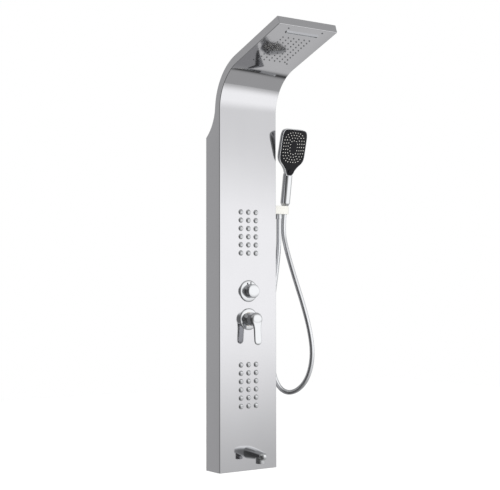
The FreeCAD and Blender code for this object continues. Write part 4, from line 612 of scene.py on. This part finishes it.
class ColumnSheet(Assembly):
    """The steel sheet: front, bend, head, side walls, rims, flanges on the wall and lower lip."""

    sizes = SheetSizes()

    def stations(self) -> list[tuple[Vector, Vector, float]]:
        """Return places along the front, with the way inward and the wall's depth there."""
        s = self.sizes
        inward = Vector((0, 1, 0))
        heights = [s.fold] + [30.0 * step for step in range(1, 32)] + [945.0, s.shoulder]
        heights += [s.shoulder + 6 * step for step in range(1, 12)] + [s.bend_start]
        result = []
        for height in heights:
            depth = s.depth
            if height > s.shoulder:
                reach = math.sqrt(s.sweep_radius**2 - (height - s.sweep_z) ** 2)
                depth = min(s.depth, s.depth + s.sweep_y - reach)
            result.append((Vector((0, PANEL, height)), inward, depth))
        centre = Vector((0, PANEL - s.bend_radius, s.bend_start))
        last = result[-1][2]
        for step in range(1, s.bend_steps + 1):
            turn = math.radians(s.bend_angle * step / s.bend_steps)
            inward = Vector((0, math.cos(turn), math.sin(turn)))
            depth = s.flange + (last - s.flange) * max(0.0, 1 - step / s.wall_steps)
            result.append((centre + inward * s.bend_radius, inward, depth))
        ahead = Vector((0, -inward.z, inward.y))
        start = centre + inward * s.bend_radius
        for step in range(1, s.head_steps + 1):
            share = step / s.head_steps
            result.append((start + ahead * (s.head_length - s.fold) * share, inward, s.flange))
        return result

    def section(self, place: Vector, inward: Vector, depth: float) -> list[Vector]:
        """Return the sheet's closed outline across the column at one station."""
        s = self.sizes
        outer = [(-s.half_width, depth), (-s.half_width, s.fold)]
        for step in range(1, 5):
            turn = math.radians(90 * step / 4)
            outer.append((-s.half_width + s.fold * (1 - math.cos(turn)), s.fold * (1 - math.sin(turn))))
        inner_x = s.half_width - s.thickness
        corner = s.fold - s.thickness
        inner = [(-inner_x, depth), (-inner_x, s.fold), (-inner_x + corner, s.thickness)]
        outer += [(-x, n) for x, n in reversed(outer)]
        inner += [(-x, n) for x, n in reversed(inner)]
        return [place + Vector((x, 0, 0)) + inward * n for x, n in outer + inner[::-1]]

    def ribbon(self, path: Sequence[tuple[Vector, Vector]], half: float) -> Form:
        """Return a strip of sheet along a path of places and inward ways."""
        rings = []
        for place, inward in path:
            back = inward * self.sizes.thickness
            left, right = Vector((-half, 0, 0)), Vector((half, 0, 0))
            rings.append([place + left, place + right, place + right + back, place + left + back])
        return swept(rings)

    def folded_end(self, centre: Vector, first: Vector, second: Vector, run: float) -> Form:
        """Return a fold from the way first to the way second, with a straight run after it."""
        s = self.sizes
        path = []
        for step in range(7):
            turn = math.radians(90 * step / 6)
            outward = first * math.cos(turn) + second * math.sin(turn)
            path.append((centre + outward * s.fold, -outward))
        path.append((path[-1][0] - first * run, path[-1][1]))
        return self.ribbon(path, s.rim_half)

    def build(self) -> None:
        """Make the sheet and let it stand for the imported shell."""
        s = self.sizes
        stations = self.stations()
        form = swept([self.section(*station) for station in stations])
        place, inward, _ = stations[-1]
        ahead = Vector((0, -inward.z, inward.y))
        form.add(self.folded_end(place + inward * s.fold, -inward, ahead, s.flange - s.fold))
        lower = Vector((0, PANEL + s.fold, s.fold))
        form.add(self.folded_end(lower, Vector((0, -1, 0)), Vector((0, 0, -1)), s.lip - s.fold))
        inner = s.half_width - s.thickness
        for side in (-1, 1):
            low, high = sorted((side * s.half_width, side * inner))
            form.add(block((low, PANEL + s.fold, 0.0), (high, 0.0, s.fold)))
            corner = block((low, -s.fold + s.rim_gap, s.fold), (high, 0.0, s.flange))
            form.add(corner.moved(HEAD @ Matrix.Translation((0, s.fold, 0))))
            low, high = sorted((side * inner, side * (s.half_width - s.return_width)))
            form.add(block((low, -s.thickness, 0.0), (high, 0.0, s.shoulder)))
        piece = as_object("sheet", form, self.palette.get(Slot.STEEL), 40.0)
        self.hand_in(piece, Slot.STEEL, "column", "column_shell")


class RainHead(Assembly):
    """The rain nozzles with the mat behind them, and the screws under the head."""

    nozzle = (
        (0, 1.6), (0.7, 1.6), (0.7, -0.6), (0.9, -1.8, 0.3), (1.5, -1.8, 0.5), (2.25, -0.4, 0.5),
        (2.25, 1.6), (0, 1.6),
    )
    screw = (
        (0, -1.5), (1.6, -1.4, 0.3), (2.6, -0.6, 0.4), (2.6, 0.0), (1.5, 0.0), (1.5, 9.0), (0, 9.0),
    )
    screw_spots = tuple((x, along, 0.0) for x in (-58, 58) for along in (14.5, 186))

    def build(self) -> None:
        """Make the nozzles, their mat and the screws."""
        nozzle = lathe(eased(self.nozzle), 20)
        field = (HEAD, grid(6, 10, 18.3, 13.3, 119.05))
        self.copies("nozzles", nozzle, field, Slot.RUBBER, 50.0, "column", "rain_nozzles")
        mat = block((-50.75, 54.2, 1.2), (50.75, 183.9, 3.2)).moved(HEAD)
        self.solid("nozzle_mat", mat, Slot.RUBBER, "column")
        screw = lathe(eased(self.screw), 20)
        corners = (HEAD, self.screw_spots)
        self.copies("screws", screw, corners, Slot.BRACKET, 50.0, "column", "head_screws")


class BodyJets(Assembly):
    """Two groups of round jets on the front."""

    jet = (
        (0, 2.6), (1.1, 2.6), (1.1, 3.9, 0.2), (1.9, 4.2, 0.3), (3.2, 4.1, 0.8), (6.6, 2.3, 1.2),
        (8.0, 0.8, 0.5), (8.0, 0.0), (5.2, 0.0), (5.2, -8.0), (0, -8.0),
    )
    centres = {"upper_jets": 684.6, "lower_jets": 244.0}

    def build(self) -> None:
        """Make both groups."""
        jet = lathe(eased(self.jet), 36)
        for name, centre in self.centres.items():
            field = (on_panel(centre), grid(3, 6, 26.5, 23.7))
            self.copies(name + "_caps", jet, field, Slot.BRIGHT, 28.0, "column", name)


@dataclass(frozen=True)
class ValveSizes:
    """The valves' heights on the column, and the ball and the lever over its front."""

    mixer: float = 434.5
    diverter: float = 515.5
    pivot: float = 20.0
    ball: float = 16.5
    ball_inside: float = 14.5
    cap: float = 20.0
    cap_inside: float = 17.2
    cap_edge: float = 20.5
    cap_shoulder: float = 38.0
    cap_rise: float = 9.0
    blade_root: float = 4.0
    blade_length: float = 69.0
    blade_half: float = 12.2
    blade_flare: float = 6.0
    blade_front: float = 46.0
    blade_lean: float = 5.0
    blade_thickness: float = 8.5
    blade_thinning: float = 1.5
    voxel: float = 0.62
    pointer: float = 14.0


class Valves(Assembly):
    """Escutcheons, the mixer's lever on its ball and the diverter's knob."""

    sizes = ValveSizes()
    rose = ((31.5, 0), (31.5, 1.8, 0.5), (29.0, 3.5, 1.2), (20, 5, 0.3), (20, 3.2), (27.5, 2.4), (27.5, 0))
    ring = ((17, 3.5), (19.5, 3.5), (19.5, 9.5, 0.8), (14.6, 9.5))
    ring_inside = ((11.4, 8), (17, 8))
    face = (
        (0, 30.0), (10.0, 29.8), (17.0, 29.1), (19.5, 28.0, 0.8), (19.5, 7.6), (20.3, 7.2, 0.3),
        (20.3, 5.6), (17.4, 5.6), (17.4, 26), (8, 26), (8, 6.8), (5, 6.8), (5, 24), (0, 24),
    )
    pin = ((0, 17.4), (2.5, 17.4), (2.5, 27, 1.4), (0, 27))

    def roses(self) -> None:
        """Make both escutcheons."""
        for name, height in (("mixer", self.sizes.mixer), ("diverter", self.sizes.diverter)):
            form = lathe(eased(self.rose), 96, closed=True).moved(on_panel(height))
            self.solid(name + "_rose", form, Slot.BRIGHT, "column", name + "_escutcheon")

    def cover(self) -> None:
        """Make the ring and ball under the lever."""
        s = self.sizes
        ball = arc(s.ball, -33.0, 73.2, 12, (0.0, s.pivot))
        inside = arc(s.ball_inside, 29.7, -68.1, 8, (0.0, s.pivot))
        profile = eased(self.ring) + ball + inside + list(self.ring_inside)
        form = lathe(profile, 80, closed=True).moved(on_panel(s.mixer))
        self.solid("lever_ball", form, Slot.BRIGHT, "column", "cartridge_cover")

    def cap(self) -> Form:
        """Return the lever's hollow cap."""
        s = self.sizes
        inside = arc(s.cap_inside, 1.7, 88.3, 14, (0.0, s.pivot))
        outside = [(s.cap, s.cap_edge), (s.cap, s.cap_shoulder)]
        for x, z in arc(1.0, 0.0, 90.0, 12)[1:]:
            outside.append((s.cap * max(x, 0.0) ** 0.6, s.cap_shoulder + s.cap_rise * z))
        return lathe(outside + inside[::-1], 96, closed=True)

    def blade(self) -> Form:
        """Return the lever's blade, from under the cap down to its round tip."""
        s = self.sizes
        rings = []
        for step in range(25):
            share = step / 24
            flare = s.blade_flare * max(0.0, 1 - share * 2.6) ** 2
            tip = max(0.0, (share - 0.8) / 0.2)
            half = s.blade_half * max(1 - tip**2.3, 0.02) ** (1 / 2.3) + flare
            front = s.blade_front + s.blade_lean * share
            back = front - (s.blade_thickness - s.blade_thinning * share)
            middle, thick = (front + back) / 2, (front - back) / 2
            if share > 0.9:
                thick *= math.sqrt(max(1 - ((share - 0.9) / 0.1) ** 2, 0.05))
            down = -s.blade_root - s.blade_length * share
            spots = [squarish(2 * math.pi * corner / 28, 0.75) for corner in range(28)]
            rings.append([Vector((half * x, down, middle + thick * z)) for x, z in spots])
        return swept(rings)

    def lever(self) -> None:
        """Make the lever: a cap that runs out into its blade without an edge."""
        form = self.cap().add(self.blade()).moved(on_panel(self.sizes.mixer))
        piece = as_object("lever", form, self.palette.get(Slot.BRIGHT))
        blend = piece.modifiers.new("one_skin", "REMESH")
        blend.mode = "VOXEL"
        blend.voxel_size = self.sizes.voxel * MM
        ease = piece.modifiers.new("ease", "SMOOTH")
        ease.factor = 0.5
        ease.iterations = 9
        baked(piece, 60.0)
        self.hand_in(piece, Slot.BRIGHT, "lever", "lever_handle")

    def knob(self) -> None:
        """Make the diverter's knob and its pointer."""
        s = self.sizes
        knob = lathe(eased(self.face), 96).moved(on_panel(s.diverter))
        self.solid("knob", knob, Slot.BRIGHT, "diverter", "diverter_knob")
        at_pin = Matrix.Translation((0, PANEL - s.pointer, s.diverter))
        pin = lathe(eased(self.pin), 28).moved(at_pin)
        self.solid("pointer", pin, Slot.BRIGHT, "diverter", "diverter_pointer")

    def build(self) -> None:
        """Make the valves' outside."""
        self.roses()
        self.cover()
        self.lever()
        self.knob()


class Spout(Assembly):
    """The horn-shaped spout with its aerator."""

    taper = ((0, 1), (0.3, 0.89), (0.58, 0.77), (0.83, 0.64), (1, 0.55))
    root_radius = 18.6
    length = 81.0
    height = 52.2
    drop = 4.9
    mouth_reach = 56.5
    boss = ((0, 36), (13.2, 36, 0.4), (13.0, 46), (0, 47))
    ring = (
        (0, 28.6), (9.3, 28.6), (9.6, 27, 0.4), (13.2, 27, 0.9), (13.2, 36, 0.5), (11.5, 36),
        (11.5, 43), (0, 43),
    )

    def radius(self, share: float) -> float:
        """Return the spout's radius at a share of its length, before it is smoothed."""
        for (low, first), (high, second) in zip(self.taper, self.taper[1:]):
            if share <= high:
                return self.root_radius * (first + (second - first) * (share - low) / (high - low))
        return self.root_radius * self.taper[-1][1]

    def horn(self) -> Form:
        """Return the horn, whose rings lie closer together towards its round tip."""
        turns = [2 * math.pi * corner / 56 for corner in range(56)]
        shifts = (-0.04, -0.02, 0, 0.02, 0.04)
        rings = []
        for step in range(49):
            share = 1 - (1 - step / 48) ** 1.6
            size = sum(self.radius(min(max(share + shift, 0), 1)) for shift in shifts) / len(shifts)
            tip = max(0.0, (share - 0.87) / 0.13)
            size *= max(1 - tip**2.2, 0.003) ** 0.5
            middle = Vector((0, PANEL - self.length * share, self.height - self.drop * share**2))
            rings.append([middle + Vector((size * math.cos(t), 0, size * math.sin(t))) for t in turns])
        return swept(rings)

    def build(self) -> None:
        """Make the horn with its boss, and the aerator."""
        mouth = Matrix.Translation((0, PANEL - self.mouth_reach, 0))
        form = self.horn().add(lathe(eased(self.boss), 64).moved(mouth))
        self.solid("horn", form, Slot.BRIGHT, "column", "spout", crease=45.0)
        ring = lathe(eased(self.ring), 64).moved(mouth)
        self.solid("mouth_ring", ring, Slot.BRIGHT, "column", "spout_aerator")


class HandShower(Assembly):
    """The handset with its face, nozzles and button, its cone nut and the holder."""

    outline = (
        (0, -7.5), (9, -6.5), (14.5, 0.5), (18.5, 9), (28, 20.5), (39, 31), (45.3, 45), (46, 70), (46, 96),
        (45.2, 113), (40.5, 125.5), (28, 130.6), (0, 131),
    )
    rounding = (
        (0.0, 1.0), (0.25, 0.3), (1.0, 0.0), (9.5, 0.0), (12.5, 0.9), (15.0, 3.0), (16.4, 6.0),
        (17.0, 10.0),
    )
    recess = ((-2.0, 1.3), (4.35, 1.3))
    plate = ((0.1, 1.4), (2.3, 1.4))
    mat = ((2.35, 2.75), (4.3, 2.75))
    handle = (
        (0, 3), (6, 3), (6, 14.3), (10.3, 14.3, 0.4), (14, 21.5, 1.0), (14, 106, 4.0), (11, 117, 3.0),
        (0, 119),
    )
    dot_rings = ((13.0, 20.5, 12), (21.0, 28.5, 17), (29.0, 36.5, 23), (37.0, 44.0, 29))
    dots_middle = (0.5, 77.0)
    dot = ((0, 0.9), (0.8, 0.9, 0.2), (1.35, 0.3, 0.3), (1.35, -0.15), (0, -0.15))
    button = ((0, 1.9), (4.6, 2.4, 0.8), (6, 1.8, 0.5), (6, -0.25), (0, -0.25))
    button_height = 5.0
    cone = ((7.26, -12), (8.4, -12, 0.3), (10.3, 14.1, 0.5), (6.06, 14.1), (6.06, -6), (7.26, -6))
    nut = ((7.26, 729.5), (9.5, 729.5, 0.5), (9.5, 744, 0.4), (7.02, 744), (7.02, 733), (7.26, 733))
    outlet = ((4.5, 733), (7, 733), (7, 745), (4.5, 745))
    at_outlet = Matrix.Translation((129.0, -44.4, 0.0))
    holder_radius = 14.5
    holder_middle = (148.0, -44.0)
    holder_root = 100.0
    holder_heights = (744.0, 768.5)
    bore_taper = 1.9 / 26.1

    def paddle(self, inset: float) -> list[Spot]:
        """Return the head's outline, drawn in by a margin."""
        right = list(self.outline)
        corners = right + [(-x, z) for x, z in reversed(right[1:-1])]
        loop = [Vector(spot) for spot in smooth_loop(corners)]
        result = []
        for index, here in enumerate(loop):
            along = (loop[(index + 1) % len(loop)] - loop[index - 1]).normalized()
            inward = Vector((-along.y, along.x))
            spot = here + inward * inset
            result.append((spot.x, spot.y))
        return result

    def through(self, stations: Sequence[Spot]) -> Form:
        """Return a solid through the head's outline at stations of (depth, inset)."""
        rings = [[Vector((x, y, z)) for x, z in self.paddle(inset)] for y, inset in stations]
        return swept(rings).moved(FACE)

    def shell(self) -> None:
        """Make the chrome handle and head, hollowed behind the face."""
        bright = self.palette.get(Slot.BRIGHT)
        head = as_object("handset_chrome", self.through(self.rounding), bright, 35.0)
        recess = self.through(self.recess)
        cut(head, recess)
        grip = as_object("grip", lathe(eased(self.handle), 80).moved(HANDSET), bright, 35.0)
        trim = block((-40, -40, -7.2), (40, 0.6, 60)).moved(FACE)
        cut(grip, trim, recess)
        self.hand_in(grip, Slot.BRIGHT, "handset")
        self.hand_in(head, Slot.BRIGHT, "handset", "handset_shell")

    def dot_places(self) -> list[Point]:
        """Return the places of the face's nozzles, evenly spaced along each ring."""
        places: list[Point] = []
        for across, up, count in self.dot_rings:
            spots = [squarish(math.radians(2 * index + 1), 0.68) for index in range(180)]
            loop = [(across * x + self.dots_middle[0], up * z + self.dots_middle[1]) for x, z in spots]
            places += [(x, z, -0.1) for x, z in evenly(loop, count)]
        return places

    def face(self) -> None:
        """Make the black face, the mat behind it, its nozzles and the button."""
        black = self.palette.get(Slot.BLACK)
        plate = bevelled(as_object("face_plate", self.through(self.plate), black), 0.25)
        on_face = FACE @ OUTWARD
        at_button = on_face @ Matrix.Translation((0, self.button_height, 0))
        well = lathe([(0, -6), (6.25, -6), (6.25, 6), (0, 6)], 48).moved(at_button)
        cut(plate, well)
        self.hand_in(plate, Slot.BLACK, "handset", "handset_face")
        self.solid("spray_mat", self.through(self.mat), Slot.RUBBER, "handset", "handset_mat")
        dot = lathe(eased(self.dot), 14)
        dots = (on_face, self.dot_places())
        self.copies("face_nozzles", dot, dots, Slot.WHITE, 60.0, "handset")
        button = lathe(eased(self.button), 48).moved(at_button)
        self.solid("button", button, Slot.BLACK, "mode_button", "mode_button")

    def nuts(self) -> None:
        """Make the cone nut on the hand shower and the hose nut under the holder."""
        cone = lathe(eased(self.cone), 64, closed=True).moved(HANDSET)
        self.solid("cone", cone, Slot.BRIGHT, "hose_end", "cone_nut")
        nut = lathe(eased(self.nut), 64, closed=True).moved(self.at_outlet)
        self.solid("nut", nut, Slot.BRIGHT, "column", "hose_nut")

    def holder(self) -> None:
        """Make the holder with its tapered bore, its slit and the outlet under it."""
        middle = self.holder_middle[1]
        plan = [(self.holder_root, middle - self.holder_radius)]
        plan += arc(self.holder_radius, -90.0, 180.0, 16, self.holder_middle)
        plan.append((self.holder_root, middle + self.holder_radius))
        rings = [[Vector((x, y, z)) for x, y in plan] for z in self.holder_heights]
        white = self.palette.get(Slot.WHITE)
        holder = bevelled(as_object("holder", swept(rings), white), 1.2, 3)
        low, high = 8.45 - 10 * self.bore_taper, 10.35 + 8 * self.bore_taper
        bore = lathe([(0, -22), (low, -22), (high, 22), (0, 22)], 64).moved(HANDSET)
        slit = block((0, -7.8, -24), (40, 7.8, 24)).moved(HANDSET)
        cut(holder, bore, slit)
        outlet = lathe(self.outlet, 48, closed=True).moved(self.at_outlet)
        self.solid("outlet", outlet, Slot.WHITE, "column")
        self.hand_in(holder, Slot.WHITE, "column", "hand_holder")

    def build(self) -> None:
        """Make the hand shower."""
        self.shell()
        self.face()
        self.nuts()
        self.holder()


class Hose(Assembly):
    """The smooth silver hose."""

    route = (
        (129, -44.4, 733), (129, -44.4, 693), (131.5, -40.5, 640), (127.5, -31.5, 560), (119, -22, 470),
        (115, -18, 375), (119, -22, 290), (130, -32, 236), (150, -52, 211), (176, -78, 221), (197, -99, 260),
        (206.5, -108.5, 325), (200, -102, 400), (185, -87, 480), (167, -69, 560), (152.5, -50.5, 640),
        (150.5, -34.86, 696.0), (150.5, -43.46, 750.32),
    )
    radius = 7.2

    def line(self) -> Piece:
        """Return the hose's centre line as a curve."""
        data = bpy.data.curves.new("hose_line", "CURVE")
        data.dimensions = "3D"
        spline = data.splines.new("NURBS")
        spline.points.add(len(self.route) - 1)
        for point, (x, y, z) in zip(spline.points, self.route):
            point.co = (x * MM, y * MM, (z - HANG_HEIGHT) * MM, 1.0)
        spline.order_u = 3
        spline.use_endpoint_u = True
        spline.resolution_u = 10
        return placed("hose_line", data)

    def build(self) -> None:
        """Make the hose as a tube along its centre line, standing for the CAD hose."""
        curve = self.line()
        path = [tuple(vertex.co) for vertex in evaluated(curve).vertices]
        curve.data.bevel_depth = self.radius * MM
        curve.data.bevel_resolution = 8
        curve.data.use_fill_caps = True
        mesh = evaluated(curve)
        tidy_mesh(mesh, 50.0)
        mesh.materials.clear()
        mesh.materials.append(self.palette.get(Slot.HOSE))
        hose = placed("hose", mesh)
        bpy.data.objects.remove(curve)
        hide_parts("shower_hose")
        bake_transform(hose)
        2 * self.radius * MM


# ---- stage -------------------------------------------------------------------------------------

@dataclass(frozen=True)
class CameraSizes:
    """Where the photograph was taken from, in metres and degrees."""

    place: Point = (-1.92208, -2.78637, -0.37088)
    pitch: float = 2.06
    roll: float = 0.09
    yaw: float = 35.36
    lens: float = 82.79


@dataclass(frozen=True)
class CardSizes:
    """The edges of the upright lit card, in metres."""

    left: float = -0.9
    right: float = 4.0
    bottom: float = -1.17
    top: float = 0.45
    y: float = -1.07


class Stage:
    """Camera, light, background and floor."""

    sizes = CameraSizes()
    card_sizes = CardSizes()
    floor_half = 6.0
    floor_height = -1.3

    def camera(self) -> None:
        """Place the camera."""
        data = bpy.data.cameras.new("camera")
        data.lens = self.sizes.lens
        data.sensor_width = 36.0
        data.clip_end = 50.0
        camera = placed("camera", data)
        camera.location = self.sizes.place
        turns = (90 + self.sizes.pitch, self.sizes.roll, -self.sizes.yaw)
        camera.rotation_euler = tuple(math.radians(turn) for turn in turns)
        bpy.context.scene.camera = camera

    @staticmethod
    def mirrored(x: Signal, y: Signal, z: Signal) -> Signal:
        """Return how bright the bright metal sees the studio in a direction.

        The studio is bright to the right and dim to the left, where it has two paler stretches.
        Downward lies a floor with a dark line across it, and upward an even grey.
        """
        right = x.ramp(-0.28, 0.14)
        paler = y.ramp(0.4, 0.75) * 0.4 + (y * -1.0).ramp(0.62, 0.86) * 0.18
        left = right.rest() * (paler + 0.08)
        around = right * (y.ramp(-0.1, 0.35) * -0.45 + 0.85) + left
        dark_line = y.bell(0.14, 0.08) * -0.88 + 1.0
        floor = (right * 0.34 + 0.12) * dark_line * (y.ramp(0.2, 0.34) * 0.4 + 1.0)
        down = (z * -1.0).ramp(0.35, 0.6)
        above = z.ramp(0.25, 0.6)
        lower = around * down.rest() + floor * down
        return lower * above.rest() + above * 0.48

    def surroundings(self) -> None:
        """Make a white background, soft light and a studio for the bright metal to mirror."""
        world = bpy.data.worlds.new("studio")
        bpy.context.scene.world = world
        world.use_nodes = True
        tree = world.node_tree
        tree.nodes.clear()
        rays = tree.nodes.new("ShaderNodeLightPath")
        glossy = Signal(tree, rays.outputs["Is Glossy Ray"])
        seen = Signal(tree, rays.outputs["Is Camera Ray"])
        even = seen * -0.14 + 1.14
        strength = self.mirrored(*axes(tree, "Generated")) * glossy + even * glossy.rest()
        background = tree.nodes.new("ShaderNodeBackground")
        background.inputs["Color"].default_value = (1.0, 1.0, 1.0, 1.0)
        tree.links.new(strength.socket, background.inputs["Strength"])
        output = tree.nodes.new("ShaderNodeOutputWorld")
        tree.links.new(background.outputs["Background"], output.inputs["Surface"])

    @staticmethod
    def sheet(name: str, corners: Sequence[Point], level: float) -> Piece:
        """Return a flat rough sheet through four corners, with an even grey level."""
        mesh = bpy.data.meshes.new(name)
        mesh.from_pydata(corners, [], [(0, 1, 2, 3)])
        material = bpy.data.materials.new(name)
        material.use_nodes = True
        shader = material.node_tree.nodes["Principled BSDF"]
        shader.inputs["Base Color"].default_value = (level, level, level, 1.0)
        shader.inputs["Roughness"].default_value = 1.0
        mesh.materials.append(material)
        return placed(name, mesh)

    def floor(self) -> None:
        """Make the pale floor, well below the column."""
        half, z = self.floor_half, self.floor_height
        corners = [(-half, -half, z), (half, -half, z), (half, half, z), (-half, half, z)]
        ground = self.sheet("floor", corners, 0.95)
        ground.visible_glossy = False

    def card(self) -> None:
        """Make the lit card in front on the right that only the bright metal mirrors."""
        s = self.card_sizes
        corners = [
            (s.left, s.y, s.bottom), (s.right, s.y, s.bottom), (s.right, s.y, s.top), (s.left, s.y, s.top),
        ]
        card = self.sheet("card", corners, 0.0)
        tree = card.data.materials[0].node_tree
        shader = tree.nodes["Principled BSDF"]
        shader.inputs["Emission Strength"].default_value = 1.0
        x, _, z = axes(tree, "Object")
        level = z.ramp(-1.15, -0.45) * 0.67 - z.ramp(-0.16, 0.28) * 0.37 + 0.67
        lit = x.ramp(-0.42, 0.16)
        value = level * lit + lit.rest() * 0.26
        colour = tree.nodes.new("ShaderNodeVectorMath")
        colour.operation = "SCALE"
        colour.inputs[0].default_value = (1.0, 1.0, 1.0)
        tree.links.new(value.socket, colour.inputs["Scale"])
        tree.links.new(colour.outputs["Vector"], shader.inputs["Emission Color"])
        card.visible_camera = False
        card.visible_diffuse = False
        card.visible_transmission = False
        card.visible_shadow = False

    def lamp(self) -> None:
        """Make the soft lamp in front on the left."""
        data = bpy.data.lights.new("soft_lamp", "AREA")
        data.shape = "RECTANGLE"
        data.size = 1.6
        data.size_y = 2.2
        data.energy = 14.0
        lamp = placed("soft_lamp", data)
        lamp.location = (-1.4, -2.4, 1.6)
        aim = Vector((0.0, -0.1, -0.2)) - Vector(lamp.location)
        lamp.rotation_euler = aim.to_track_quat("-Z", "Y").to_euler()
        lamp.visible_glossy = False

    def build(self) -> None:
        """Set the whole stage."""
        self.camera()
        self.surroundings()
        self.floor()
        self.card()
        self.lamp()
        bpy.context.scene.view_settings.view_transform = "Standard"


def paint_nodes(frame: dict, palette: Palette) -> None:
    """Give every CAD node the material of its slot."""
    slots = {slot.value: slot for slot in Slot}
    for row in frame["record"]["subparts"]:
        item = frame["nodes"][row["node"]]
        item.data.materials.clear()
        item.data.materials.append(palette.get(slots[row["material_slot"]]))


def main() -> None:
    """Build the scene."""
    logging.basicConfig(level=logging.INFO)
    for item in list(bpy.data.objects):
        bpy.data.objects.remove(item)
    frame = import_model()
    palette = Palette()
    repeater = Repeater()
    paint_nodes(frame, palette)
    for kind in (ColumnSheet, RainHead, BodyJets, Valves, Spout, HandShower, Hose):
        kind(palette, repeater).build()
        log.info("%s done", kind.__name__)
    Stage().build()
    bpy.context.view_layer.update()


if __name__ == "__main__":
    main()
